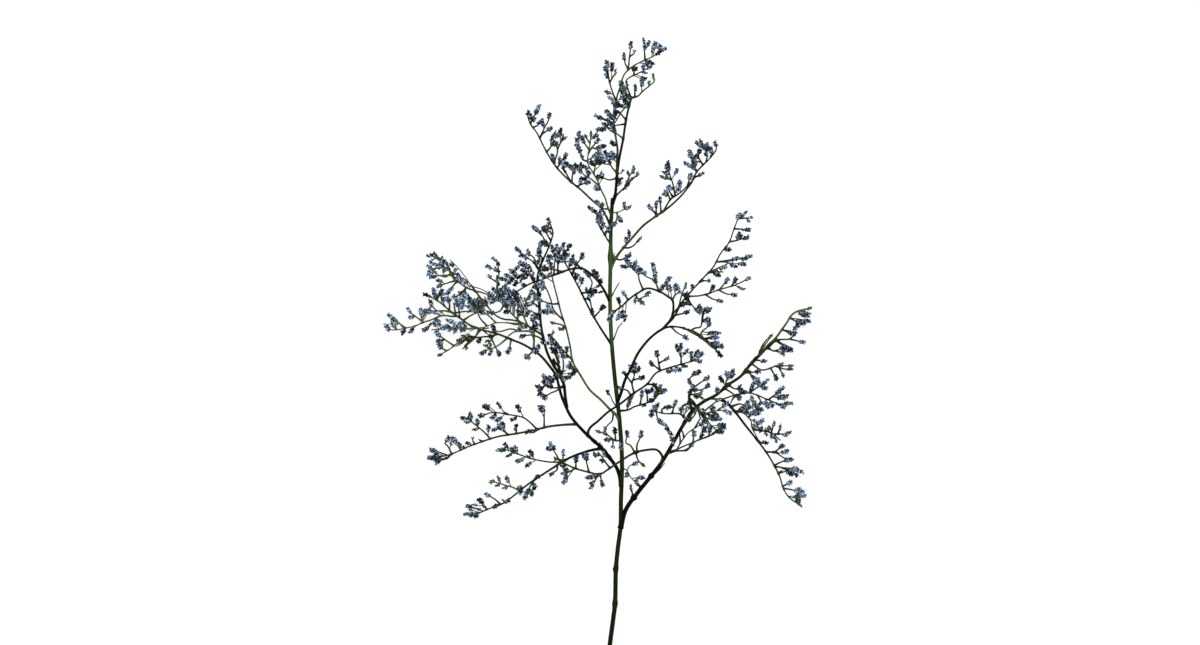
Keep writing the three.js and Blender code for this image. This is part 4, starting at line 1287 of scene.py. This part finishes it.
stemLeftSprig = {
    "node": "stem_left_sprig",
    "seed": 12,
    "rise": (-0.3, 0),
    "twigShade": 0.55,
    "tone": 0.5,
    "boughs": [
        {
            "radius": (0.75, 0.6),
            "shade": (0.5, 0.5),
            "route": "620.8,440,29.8 616,441,27 607,435,24 598,432,22",
        },
    ],
    "twigs": ["616,440 615,432", "613,439 613,445"],
    "tufts": "608,440 613,445",
    "darkTufts": "615,431",
    "buds": "598,432",
    "fine": {
        "bracts": ["607,435 602,433 598,431"],
        "darkTufts": "615,433",
    },
}
makeSpray(stemLeftSprig)

innerLeftSpray = {
    "node": "inner_left_spray",
    "seed": 13,
    "rise": (-0.5, -0.05),
    "twigShade": 0.45,
    "tone": 0.15,
    "boughs": [
        {
            "radius": (1.2, 0.75),
            "shade": (0.3, 0.3),
            "route": "611.8,345,38.7 605,335,40 598,324,41 590,310,41 580,290,40 571,273,39 562,258,38",
        },
    ],
    "twigs": [
        "572,275 577,264 582,257", "582,293 587,292 591,287 592,282 588,275",
        "585,299 589,299 591,305 592,311", "594,317 598,313 602,308",
    ],
    "tufts": (
        "582,256 573,258 571,262 575,264 577,277 582,281 576,277 588,292 590,296 588,275 592,311 "
        "602,308"
    ),
    "darkTufts": "594,292",
    "fine": {
        "bracts": ["575,274 574,267", "589,299 591,303"],
        "tufts": "580,279 586,290 590,290 574,262 602,309 594,290 598,286 601,292",
        "darkTufts": "592,294 588,298",
    },
}
makeSpray(innerLeftSpray)

archLeftSpray = {
    "node": "arch_left_spray",
    "seed": 14,
    "rise": (0, 0.25),
    "twigShade": 0.45,
    "tone": 0.18,
    "boughs": [
        {
            "radius": (1.35, 0.75),
            "shade": (0.15, 0.4),
            "route": (
                "610,302,41.4 605,292,46 600,284,50 594,277,53 583,269,56 572,269,58 560,273,58 "
                "550,276.5,58 538,281,57 531,283.5,56 523,288,54.5 518,291,53.5 510,297,52 505,300,51"
            ),
        },
    ],
    "twigs": [
        "558,274 558,266 560,250", "554,275 555,262 557,259", "563,272 555,270 547,269 539,271",
        "559,262 564,254 569,247", "558,258 551,251",
    ],
    "tufts": (
        "594,273 597,276 601,282 546,269 553,249 558,248 563,246 569,247 564,254 566,256 563,259 "
        "550,257 557,259 514,292 517,297 549,262 511,300"
    ),
    "darkTufts": "525,285",
    "fine": {
        "bracts": ["557,262 554,255 552,250", "561,263 562,256"],
        "tufts": (
            "553,252 555,254 557,251 561,249 564,251 560,256 566,262 559,254 562,262 549,259 597,274 "
            "599,282 568,250 577,265 581,268 585,272 589,276"
        ),
        "darkTufts": "555,250 552,247 551,267",
    },
}
makeSpray(archLeftSpray)

leftBranchSpray = {
    "node": "left_branch_spray",
    "seed": 15,
    "rise": (-0.35, 0.25),
    "twigShade": 0.7,
    "tone": 0.6,
    "boughs": [
        {
            "radius": (1.95, 0.7),
            "shade": (-0.3, 0.8),
            "route": (
                "621.3,487,24 619.5,476,21.5 616,467,21 611,460,21.5 605,452,22.5 598,445,23.5 "
                "583,431,24.5 571,417,24.5 565,405,24 561,395,23.3 558.5,385,22.5 555.5,375,22 "
                "550,367,21 543,358.5,20 537,353,19 522,344,17 512,340,16 500,335,14.5 490,332,13.5 "
                "480,329.5,12.5 470,325.5,11.2 460,318.5,10 450,311.5,8.5 440,303,7.3 430,297,6 "
                "424,295,5"
            ),
        },
        {
            "radius": (0.9, 0.6),
            "shade": (0.4, 0.7),
            "route": (
                "497,334,14 492,336,13.8 484,336.8,13 476,337.5,12 470,336.5,11 463,338.5,10 458,342,9 "
                "452,347,8 446,351,7 437,356,5.5"
            ),
        },
    ],
    "twigs": [
        "533,351 527,357", "533,350 533.5,341 531,331", "511,339 509,349",
        "507,338 500,344 493,348 487,350", "490,335.8 494,345 498,353", "453,345.5 446,341 438,335",
        "446,351 442,349 439,347", "451,312 443,310.7 436,310.5 431,306",
        "448.5,310.5 448.5,303 446,298", "459,317.5 458,308 457,302",
        "474,328 467,329 458,327 448,328 431,330", "437,300 433,293",
    ],
    "tufts": (
        "537,348 536,353 531,331 527,357 508,351 482,353 490,353 498,353 606,456 601,449 437,334 "
        "439,341 439,346 433,291 440,292 435,296 430,303 444,299 448,301 454,298 457,304 433,312 "
        "443,328 448,327 452,322 457,327 461,323 463,330 490,336"
    ),
    "darkTufts": "426,295 493,328 479,340",
    "buds": "485,346 438,355 447,320 454,332 468,335 463,338",
    "fine": {
        "twigs": [
            "495,333 490,341 487,345", "475,337.5 470,342 462,349", "478,330 476,335 470,340 464,346",
            "444,305.5 441,300 440,295", "455,315 454,309 453,303", "463,320 471,315 480,311.5",
            "451,315 463,311.5 475,310.5", "518,327 514,332 508,336",
            "519,325 510,329 500,331.5 492,331", "473,322 480,329 487,334", "476,333 482,329 488,328",
        ],
        "bracts": [
            "604,452 600,447 598,444", "609,458 605,453", "472,336.5 466,339 461,344",
            "464,338.5 459,343 455,347", "594,443 590,438", "588,436 583,431",
            "469,336.5 463,341 458,346",
        ],
        "tufts": (
            "604,452 602,447 600,445 446,326 449,330 454,326 464,326 437,322 437,332 434,297 443,294 "
            "441,303 455,303 459,328 434,325 441,343 529,358 526,355 441,327 450,330 455,326 460,328 "
            "465,326 537,347 537,351 448,326 453,329 459,327"
        ),
        "darkTufts": "429,296 458,340 463,336 468,340 440,355 487,341 433,294",
        "buds": "490,345 466,348",
    },
}
makeSpray(leftBranchSpray)

leftUprightSpray = {
    "node": "left_upright_spray",
    "seed": 16,
    "rise": (0.05, 0.5),
    "twigShade": 0.4,
    "tone": 0.32,
    "boughs": [
        {
            "radius": (1.6, 0.8),
            "shade": (0.1, 0.4),
            "route": (
                "566.5,407.5,24.2 565.3,398,28 564.3,388,31 562,379,33 557,371,34.5 551,361,35.5 "
                "547,352,36 543.5,339,37 541,325,38 540,312,39 539.5,300,40 538,285,41 539,272,42 "
                "543,260,44 548,249,46 551,241,47 553,233,48 551,226,49 549,221,50"
            ),
        },
    ],
    "twigs": [
        "562,387 553,388 545,386 540,388", "562,389 556,391 551,393 546,396",
        "559,378 552,380 545,378", "558,374 558,362 556,352", "544,341 538,337 531,335 523,336",
        "549,247 543,237 540,231", "551,241 545,231", "538,270 532,261 524,256",
        "538,268 534,258 529,254", "543,260 539,252", "538,288 533,281 530,275 527,268 521,265",
        "530,275.5 523,275 516,277.5 508,280", "539.8,313.5 536,313.5 533,312",
    ],
    "tufts": (
        "559,376 545,377 545,383 551,380 551,387 539,387 541,394 546,397 535,228 545,229 549,228 "
        "549,221 540,247 539,252 523,256 529,253 518,250 556,351 503,279 508,276 513,272 517,268 "
        "522,265 526,265 524,271 510,282 516,283 533,321 537,317 535,327 538,262 534,281 536,288 "
        "535,295"
    ),
    "darkTufts": "523,336 544,243 524,277 539,295",
    "fine": {
        "twigs": [
            "562.5,378 559,367 556,357 552,347 550,340", "563,376 563.5,366 562,356 559,350",
            "542,337 539.2,315 538.6,302 537,285 537.2,277 540.3,264",
        ],
        "bracts": [
            "562,381 559,377 555,377", "560,375 563,372 566,370", "556,366 553,359", "561,368 558,360",
            "562,388 557,388", "555,348 557,356 560,363", "552,358 557,365 562,372",
            "566,352 570,358 573,363",
        ],
        "tufts": (
            "552,378 558,375 561,377 553,382 551,384 545,395 541,391 543,396 547,378 548,382 551,338 "
            "553,343 515,276 521,262 526,259 524,266 531,270 512,279 509,281 555,376 539,394 545,378 "
            "551,349 553,352 555,348 558,356 543,289 535,299 533,303 537,306 530,311 534,318 525,274 "
            "541,252 538,256 546,246 540,244 543,229 546,228 537,229 524,265 513,280 518,277 522,275 "
            "526,271 529,267 521,281 526,278 530,275 533,228 536,231 542,230 549,224 548,231 551,233 "
            "545,243 548,245 534,262 537,267 542,261 546,268 549,274 533,274 544,266 541,271 542,343 "
            "533,315 536,318 534,321 536,324 557,345 561,350 564,356 570,365 574,372"
        ),
        "darkTufts": "555,379 550,377 524,269 519,277 527,274 547,242 539,390 538,387",
    },
}
makeSpray(leftUprightSpray)

leftMassSpray = {
    "node": "left_mass_spray",
    "seed": 17,
    "rise": (-0.15, 0.4),
    "twigShade": 0.75,
    "tone": 0.56,
    "boughs": [
        {
            "radius": (1.05, 0.65),
            "shade": (0.6, 0.75),
            "route": (
                "542.6,335,37.4 536,331,38.5 528,326,39.5 520,322,40 512,320,40 503,319,40 "
                "496,315.5,40 490,309.5,40.5 485,303,42 481,298,44 475,291.5,46.5 468,288,48.5 "
                "461,284,49.5 456,281,50 452,276.5,49.5 449.5,271,48.5 447.5,262,47"
            ),
        },
        {
            "radius": (0.75, 0.6),
            "shade": (0.75, 0.75),
            "route": (
                "523,323,39.8 516,324.7,39 508,323,38.5 495,323,37.5 490,325,37 484,327,36 "
                "476,328.5,34.5 470,331,33"
            ),
        },
        {
            "radius": (0.85, 0.6),
            "shade": (0.65, 0.75),
            "route": "520,322,40 514,316,42 509,311,43.5 504,306,45 500,301.5,46 493,301.5,46.5",
        },
        {
            "radius": (0.7, 0.55),
            "shade": (0.8, 0.8),
            "route": (
                "500,301.5,46 496,297,48 490,294.5,49.5 484,290.5,51 478,288,52 472,286,53 467,279,54 "
                "461,271,54 455,264.5,53.5 450.5,260,53"
            ),
        },
    ],
    "twigs": [
        "497,298 498,283 499,275 498,262,57", "498,283 489,277", "499,272 489,267",
        "451,275.5 441,275.5 434,277", "455,281.5 448,283 441,285.5", "457,282 454,285 451,289",
        "449,268 442,268 432,269", "448,264 441,259 436,257 430,256", "466,289 460,294 454,297.5",
        "487,326 480,318 477,310 475,303", "496,323 490,317 485,313 480,307",
        "528,325 525,319.5 523,315 524,308 526,302 531,292",
    ],
    "tufts": (
        "436,255 440,259 430,256 445,262 442,265 432,263 430,267 431,271 430,273 433,277 446,270 "
        "440,281 440,286 451,289 453,265 455,272 458,276 463,280 466,282 449,292 461,299 466,297 "
        "462,306 470,299 473,303 476,306 471,308 479,302 485,302 482,306 474,311 481,312 494,290 "
        "491,296 495,299 493,302 500,292 504,287 507,291 503,296 508,297 506,302 511,304 515,303 "
        "507,312 490,277 489,267 495,260 498,264 498,271 498,279 526,305 528,299 531,293 520,328 "
        "525,327 492,313"
    ),
    "darkTufts": "519,312 499,296 527,314",
    "buds": "518,316",
    "fine": {
        "twigs": [
            "475,290.5 480,292 486,294 492,296", "487,305 480,307 474,308", "452,273 446,277 441,276",
            "503,306 500,311 494,313", "472,286 480,297 487,306", "470,286 477,293 483,305",
            "523,323 515,323.5 506,322.5", "532.5,332 534.3,341 534,349",
            "449,268 452,274 458,281 465,287 471,290", "453,271 459,276 464,281 470,287",
        ],
        "bracts": ["498,292 497,286 498,279", "456,281 452,276 449,271", "487,305 483,300"],
        "tufts": (
            "438,257 434,259 436,264 434,269 436,273 447,265 449,268 444,268 458,296 463,297 468,300 "
            "464,303 467,306 475,300 477,304 480,305 485,299 489,299 484,309 478,309 472,307 483,314 "
            "488,313 493,294 497,293 499,290 502,291 505,289 508,293 514,294 517,293 503,300 511,300 "
            "510,306 514,307 518,305 522,307 526,309 530,305 521,298 443,258 442,262 438,268 457,279 "
            "460,277 470,304 487,303 490,293 499,299 507,300 515,299 533,301 525,300 496,269 432,255 "
            "436,257 440,260 444,264 430,267 433,273 464,282 460,282"
        ),
        "darkTufts": (
            "504,294 509,296 514,297 518,300 513,303 470,301 478,299 447,268 460,292 506,305 523,312 "
            "499,285 500,290 507,289 512,291 517,294 509,301"
        ),
        "buds": "481,310 470,311",
    },
}
makeSpray(leftMassSpray)

farLeftSpray = {
    "node": "far_left_spray",
    "seed": 18,
    "rise": (-0.1, 0.4),
    "twigShade": 0.85,
    "tone": 0.8,
    "boughs": [
        {
            "radius": (0.85, 0.6),
            "shade": (0.6, 0.8),
            "route": (
                "456,316,9.3 451,316.4,10.4 446,315.6,10.8 440,316,10.8 430,320,10 422,322.5,9 "
                "414,326,7 405,328,5 398,329.5,3.8 391,330,2.6 386,329,1.6"
            ),
        },
    ],
    "twigs": [
        "422,322 418,319 410,313", "421,322.5 420,315", "404,328 398,323 391,318",
        "436,317.8 433,322 430,325",
    ],
    "tufts": "386,328 392,325 389,316 394,320 408,310 411,317 420,311 424,312 428,311 434,322 438,322",
    "darkTufts": "403,331 411,330 425,329",
    "fine": {
        "bracts": ["404,328 400,326", "414,326 411,328"],
        "tufts": "391,320 395,324 409,312 387,326 384,325 422,312 426,311 431,311 434,313 438,314 440,312",
        "darkTufts": "403,331 430,324",
        "buds": "393,327",
    },
}
makeSpray(farLeftSpray)

lowerLeftSpray = {
    "node": "lower_left_spray",
    "seed": 19,
    "rise": (-0.3, 0.4),
    "twigShade": 0.55,
    "tone": 0.36,
    "boughs": [
        {
            "radius": (1.25, 0.7),
            "shade": (0.5, 0.55),
            "route": (
                "577.5,424.5,24.5 565,425,22 548,427,19 532,431,17 516,434,15 498,437,12 482,442,9 "
                "466,448,6.5 450,455,4 438,458,3"
            ),
        },
    ],
    "twigs": [
        "544,428 544,413", "537,430 530,423 523,418 508,415 492,413 482,416", "516,434 516,429",
        "508,436 504,432 497,429", "490,440 484,433 478,428 468,420", "474,445 472,441",
        "451,455 447,447 444,444", "451,455 446,459 437,462", "460,450 455,443",
    ],
    "tufts": (
        "543,409 540,409 481,416 499,406 518,408 498,420 514,419 493,417 500,428 495,430 488,429 "
        "503,425 470,419 463,419 470,416 477,423 468,444 458,446 455,442 452,440 447,440 436,460 "
        "430,459 436,456 432,451 437,463 529,432 516,428"
    ),
    "darkTufts": "485,408",
    "buds": "466,423 474,430 472,440",
    "fine": {
        "bracts": [
            "537,430 533,433 530,433", "507,414 503,412", "446,458 441,460", "482,443 478,440",
            "484,418 480,416",
        ],
        "tufts": (
            "501,424 515,430 431,450 434,453 429,458 452,441 456,444 460,446 463,448 450,445 430,457 "
            "434,461 453,441 458,445 498,426 502,429"
        ),
        "darkTufts": "501,426 487,406 433,458",
    },
}
makeSpray(lowerLeftSpray)

lowLeftSpray = {
    "node": "low_left_spray",
    "seed": 20,
    "rise": (-0.35, 0.35),
    "twigShade": 0.7,
    "tone": 0.5,
    "boughs": [
        {
            "radius": (1.4, 0.7),
            "shade": (0.1, 0.6),
            "route": (
                "602,449,23.2 594,450,22.8 586,452,22 570,458,20 555,467,17 541,476,14 529,484,12 "
                "514,496,9 503,504,7 490,509,5 474,516,2.5"
            ),
        },
    ],
    "twigs": [
        "486,510 480,502", "500,505 494,500 487,496", "519,491 512,488 505,486 492,482",
        "535,480 531,485 526,495", "557,466 557,470 552,474",
    ],
    "tufts": (
        "476,516 472,515 466,515 468,507 508,501 496,507 538,477 507,480 506,488 520,488 521,492 "
        "525,497 527,493 531,493 534,487 487,496 552,474"
    ),
    "darkTufts": "480,502",
    "buds": "498,479 491,483 497,486",
    "fine": {
        "bracts": [
            "505,503 501,500", "561,462 556,466", "566,462 560,463 554,467", "563,460 557,460 552,463",
        ],
        "tufts": "474,506 478,510 483,507 470,511 467,508 471,517 477,517 487,497",
        "darkTufts": "478,501 482,504",
    },
}
makeSpray(lowLeftSpray)

archCrossingSpray = {
    "node": "arch_crossing_spray",
    "seed": 21,
    "rise": (-0.15, 0.45),
    "twigShade": 0.6,
    "tone": 0.3,
    "boughs": [
        {
            "radius": (1.3, 0.7),
            "shade": (0.4, 0.6),
            "route": (
                "661.5,462.5,34 662.5,457,37 657,450,40 646,450,42 634,453,42.5 622,460,42 610,468,41 "
                "600,474,40 588,472,39 574,468,37 562,463,35 548,462,33 532,459,31 517,454,29 "
                "505,450,27 498,450,26"
            ),
        },
    ],
    "twigs": [
        "637,452 637,445 641,436", "635,453 630,445 626,443 627,436", "636,453 638,460 643,465",
        "610,468 606,463 602,457 598,452", "589,472 586,460", "576,468 576,460",
        "575,468 571,471 567,473", "600,474 602,483", "598,474 594,483", "560,463 557,456 552,448",
        "563,463 563,454",
    ],
    "tufts": (
        "641,434 627,434 603,461 597,455 584,457 587,457 566,477 564,473 565,481 567,470 593,477 "
        "589,477 593,482 592,486 602,483 565,466 499,450 503,450 512,450 516,449 506,446 531,453 "
        "519,461 528,465 551,445 549,449 554,449 563,453"
    ),
    "darkTufts": "576,459",
    "buds": "643,465 508,456 556,459",
    "fine": {
        "bracts": ["563,462 560,459", "600,474 598,477", "530,458 526,455", "515,453 511,450"],
        "darkTufts": "576,461 514,450",
    },
}
makeSpray(archCrossingSpray)

stemRightSprig = {
    "node": "stem_right_sprig",
    "seed": 22,
    "rise": (-0.3, 0),
    "twigShade": 0.7,
    "tone": 0.5,
    "boughs": [
        {
            "radius": (0.65, 0.55),
            "shade": (0.75, 0.75),
            "route": "621.8,468,26.6 627,471,25.5 631,478,24.5 638,485,23.5",
        },
        {"radius": (0.6, 0.5), "shade": (0.85, 0.85), "route": "627,471,25.5 630,466,26 635,464,26"},
    ],
    "tufts": "635,464 627,474 641,478",
    "buds": "636,481 639,486",
    "fine": {
        "buds": "637,484",
    },
}
makeSpray(stemRightSprig)

rightBoughSpray = {
    "node": "right_bough_spray",
    "seed": 23,
    "rise": (-0.15, 0.5),
    "twigShade": 0.55,
    "tone": 0.35,
    "boughs": [
        {
            "radius": (2.4, 1),
            "shade": (-0.35, 0.95),
            "route": (
                "620.4,529,19 626,510,22 637,494,26 649,479,30 662,462,34 672,445,37.5 682,427,40 "
                "692,411,42 703,402,42.5 716,395,42 728,385,40 741,376,37 752,363,32.5 762,353,27 "
                "774,341,20 786,325,12 795,313,5 811,308,1"
            ),
        },
    ],
    "twigs": [
        "634,498 631,489", "791,318 798,322", "783,330 790,332", "775,340 783,339.5 790,339 795,335",
        "790,339 802,342", "776,341 783,344 787,347", "768,347 774,351 783,348", "776,351 782,353",
        "759,356 761,349 765,342 771,336", "755,360 763,361",
        "752,364 762,370 771,368 776,366 791,366", "776,367 784,369 791,369", "771,369 776,377",
        "779,368 783,375", "744,373 757,372", "749,372.5 755,379", "725,387 726,382 728,377",
        "729,385 733,388 741,390", "724,388 732,393,38 741,400,36",
    ],
    "tufts": (
        "804,315 808,313 804,312 798,324 803,323 808,321 791,333 795,330 802,342 787,349 784,349 "
        "790,349 783,348 782,353 763,361 757,372 753,377 756,379 758,382 721,379 727,375 732,372 "
        "732,376 717,391 780,365 739,389 743,391 738,397"
    ),
    "darkTufts": "776,377",
    "buds": "811,308 795,335 771,336 791,366 791,369 783,375 631,488",
    "fine": {
        "bracts": [
            "756,358 761,354 765,350", "761,353 766,349 771,350", "634,498 631,490", "747,371 751,371",
            "766,349 771,345", "776,340 783,345 788,346", "787,331 792,332", "728,385 733,388",
            "760,352 765,345 771,337", "763,352 768,345 773,340", "752,362 756,357 761,355",
            "770,347 775,342 780,341", "745,369 750,364 755,362", "686,423 690,417 695,410",
            "688,424 693,417 697,410", "652,476 657,469 662,462", "653,478 659,470 665,463",
        ],
        "tufts": "809,316 799,322 785,350 788,347 785,345",
        "darkTufts": "756,371 740,386 739,396 788,350 776,379 807,320",
        "buds": "779,365 789,369",
    },
}
makeSpray(rightBoughSpray)

rightOuterSpray = {
    "node": "right_outer_spray",
    "seed": 24,
    "rise": (-0.1, 0.4),
    "twigShade": 0.6,
    "tone": 0.56,
    "boughs": [
        {
            "radius": (0.9, 0.65),
            "shade": (0.6, 0.6),
            "route": (
                "710,398.5,42.4 716,399,44.5 722,399,46 735,395,49 750,393,51 764,398,52 776,403,51 "
                "783,406,50"
            ),
        },
    ],
    "twigs": [
        "750,393 750,388 753,384", "751,392 756,388 763,384", "757,396 761,402",
        "768,400 774,395 780,390",
    ],
    "tufts": (
        "753,384 762,384 766,381 764,388 764,403 767,405 771,404 777,393 781,389 784,396 780,398 "
        "785,404 789,403 782,406"
    ),
    "fine": {
        "bracts": ["737,395 733,398 730,404", "741,394 738,390", "776,403 780,406"],
        "tufts": "752,386 759,386 768,405 779,397 781,405 786,404",
        "darkTufts": "738,398 741,392 752,389 758,383",
    },
}
makeSpray(rightOuterSpray)

rightLowSpray = {
    "node": "right_low_spray",
    "seed": 25,
    "rise": (-0.3, 0.35),
    "twigShade": 0.5,
    "tone": 0.64,
    "boughs": [
        {
            "radius": (1.4, 0.7),
            "shade": (0.15, 0.75),
            "route": (
                "720,399.2,45.5 727,403,41 736,413,37 746,426,32 758,441,25 769,456,18 780,476,11 "
                "785,491,7 792,500,3 801,506,1"
            ),
        },
        {
            "radius": (0.75, 0.6),
            "shade": (0.4, 0.6),
            "route": "736,412,37 743,413,38 751,421,37 752,427,35 758,439,32 761,444,30",
        },
    ],
    "twigs": [
        "735,411 740,411 750,409", "748,418 754,412 758,406", "753,430 763,431 771,433 780,440",
        "771,433 774,424", "773,434 785,434", "778,435 780,428", "760,443 768,444",
        "767,452 776,453 784,458 788,460", "775,453 782,447", "775,466 781,463 787,461",
        "776,467 782,468 788,470", "779,474 786,472", "784,487 790,484", "785,489 790,490 795,491",
        "790,498 797,497",
    ],
    "tufts": (
        "747,404 748,408 743,408 752,399 755,405 759,405 757,410 760,410 757,414 753,413 746,412 "
        "756,422 761,422 756,426 766,430 760,429 773,435 784,435 788,433 765,443 782,447 786,452 "
        "790,460 787,461 792,471 796,469 801,472 790,484 799,490 802,492 799,495 804,497"
    ),
    "darkTufts": "791,474 796,475 797,498 798,502",
    "buds": "774,424 793,498 780,427 801,506",
    "fine": {
        "bracts": [
            "737,412 742,411 747,413", "752,428 757,430 762,430", "757,440 762,443", "779,474 783,471",
            "774,453 779,453", "738,404 742,407 747,412", "736,402 741,404 746,408",
        ],
        "tufts": "746,407 744,411 766,434 771,437 776,441",
        "darkTufts": "757,412 751,413 760,431 800,496",
        "buds": "770,428",
    },
}
makeSpray(rightLowSpray)

rightInnerSpray = {
    "node": "right_inner_spray",
    "seed": 26,
    "rise": (0, 0.3),
    "twigShade": 0.5,
    "tone": 0.5,
    "boughs": [
        {
            "radius": (0.95, 0.6),
            "shade": (0.4, 0.5),
            "route": "686.5,420,41 680,414,45 665,413.5,47 653,411,47",
        },
        {
            "radius": (0.75, 0.6),
            "shade": (0.6, 0.7),
            "route": "656,411.5,47 658,419,47 666,427,48 671,437,49 674,446,49",
        },
    ],
    "twigs": ["662,413 662,409 668,407", "672,413.7 674,406"],
    "tufts": "652,414 655,408 657,406 675,403 659,420 664,424 667,428 670,433 672,439",
    "darkTufts": "668,407",
    "fine": {
        "bracts": ["684,417 680,413", "659,420 663,424", "667,429 670,434"],
        "tufts": "668,430 680,410 686,409 676,403 683,408 686,411 681,411 674,405",
        "darkTufts": "665,407 652,411",
    },
}
makeSpray(rightInnerSpray)

rightCrossSpray = {
    "node": "right_cross_spray",
    "seed": 27,
    "rise": (0.05, 0.4),
    "twigShade": 0.6,
    "tone": 0.45,
    "boughs": [
        {
            "radius": (1.2, 0.7),
            "shade": (0.4, 0.4),
            "route": "692.5,410.5,42 689,400,45.5 690,392,47 693,387,48 690,383,48.5 690,378,49 697,373,50",
        },
        {
            "radius": (0.9, 0.6),
            "shade": (0.4, 0.4),
            "route": "689,400.5,45.5 695,406,49.5 702,414,51 710,424,50 717,431,49",
        },
    ],
    "twigs": [
        "692,388 701,382 706,379", "691,391 703,389 707,386", "690,395 701,393",
        "702,413 710,406,53 718,400,54", "703,415 713,411,53 722,410,54",
    ],
    "tufts": (
        "693,374 697,373 689,381 692,386 694,390 690,392 706,379 707,386 722,425 722,428 728,412 "
        "712,409 725,404 716,415 718,418 711,416 714,419"
    ),
    "darkTufts": "695,396 720,431",
    "buds": "701,392 702,398 718,400",
    "fine": {
        "twigs": [
            "690,404 684,405 681,410", "696,408 700,412 706,418", "694,406 698,411 700,418",
            "690,398 694,402 697,407",
        ],
        "bracts": [
            "690,409 689,403 688,398", "694,411 696,406 692,401", "696,408 701,412 705,417",
            "700,413 704,419 708,424", "689,394 693,390", "690,399 686,404",
        ],
        "tufts": (
            "684,405 681,409 689,408 702,409 705,417 703,421 707,420 711,408 714,411 710,417 717,414 "
            "719,417 715,419 707,424 721,427 724,406 690,420 687,417 699,410 701,413 698,407 704,413 "
            "695,413"
        ),
        "darkTufts": "703,414 695,396 690,383",
    },
}
makeSpray(rightCrossSpray)

rightUnderSpray = {
    "node": "right_under_spray",
    "seed": 28,
    "rise": (-0.4, -0.05),
    "twigShade": 0.6,
    "tone": 0.5,
    "boughs": [
        {
            "radius": (1, 0.65),
            "shade": (0.5, 0.6),
            "route": "667.5,453,36 677,451,35.5 687,450,34.5 693,443,34 707,437,32 718,432,31",
        },
        {
            "radius": (0.75, 0.6),
            "shade": (0.55, 0.6),
            "route": "676,451,35.5 680,444,35 688,433,34 697,427,33 702,424,32.5",
        },
    ],
    "twigs": ["687,450 691,447", "693,443 694,434", "700,440 704,430", "709,436 710,430"],
    "tufts": "691,447 694,434 704,430 702,424 718,432 710,430",
    "darkTufts": "701,437",
    "fine": {
        "twigs": [
            "681,444 680,437 679,431", "684,438 683,433 681,429", "695,428 699,421 701,418",
            "705,438 712,435 718,431", "671,450.5 678,449 686,445.5 692,443",
        ],
        "bracts": [
            "668,453 672,451 676,451", "686,449 690,447", "712,433 717,430", "664,457 669,452 674,450",
        ],
        "tufts": "690,446 695,435 693,432 703,429 705,432 702,433",
        "darkTufts": "702,436",
    },
}
makeSpray(rightUnderSpray)

# The stage is in metres.
stageLook = {
    "viewWidth": 1.2,  # seen from side to side, at the plant's middle height
    "viewCentre": (0.00161, 0.0644),
    "plantHeight": 0.04,  # that middle height
    "cameraHeight": 6.5,
    "sensorWidth": 36,  # mm
    "floorSize": 60,
    "floor": "#8f8f8f",
    "roughness": 0.9,
    "gloss": 0.1,
    "floorGlow": 0.75,  # the floor glows softly, like a light table, so that shadows stay faint
    "sky": "#ffffff",
    "skyStrength": 1.0,
    "lampPower": 80,  # watts
    "lampSize": 2.5,
    "lampSpot": (-1.2, 1.0, 2.6),
}


def makeStage(look):
    scene = bpy.context.scene
    size = look["floorSize"] / 2
    corners = [(-size, -size, 0), (size, -size, 0), (size, size, 0), (-size, size, 0)]
    mesh = bpy.data.meshes.new("floor")
    mesh.from_pydata(corners, [], [(0, 1, 2, 3)])
    floor = bpy.data.objects.new("floor", mesh)
    scene.collection.objects.link(floor)
    finish, shader = newFinish("pale floor", look)
    shader.inputs["Base Color"].default_value = colour(look["floor"])
    shader.inputs["Emission Strength"].default_value = look["floorGlow"]
    mesh.materials.append(finish)

    world = bpy.data.worlds.new("soft sky")
    world.use_nodes = True
    sky = world.node_tree.nodes["Background"]
    sky.inputs["Color"].default_value = colour(look["sky"])
    sky.inputs["Strength"].default_value = look["skyStrength"]
    scene.world = world

    lamp = bpy.data.lights.new("soft lamp", "AREA")
    lamp.shape = "SQUARE"
    lamp.size = look["lampSize"]
    lamp.energy = look["lampPower"]
    lampObject = bpy.data.objects.new("soft lamp", lamp)
    lampObject.location = look["lampSpot"]
    lampObject.rotation_euler = (-lampObject.location).to_track_quat("-Z", "Y").to_euler()
    scene.collection.objects.link(lampObject)

    camera = bpy.data.cameras.new("camera")
    camera.sensor_width = look["sensorWidth"]
    distance = look["cameraHeight"] - look["plantHeight"]
    camera.lens = look["sensorWidth"] * distance / look["viewWidth"]
    cameraObject = bpy.data.objects.new("camera", camera)
    cameraObject.location = (*look["viewCentre"], look["cameraHeight"])
    scene.collection.objects.link(cameraObject)
    scene.camera = cameraObject
    scene.view_settings.view_transform = "Standard"
    print("stage made")


makeStage(stageLook)
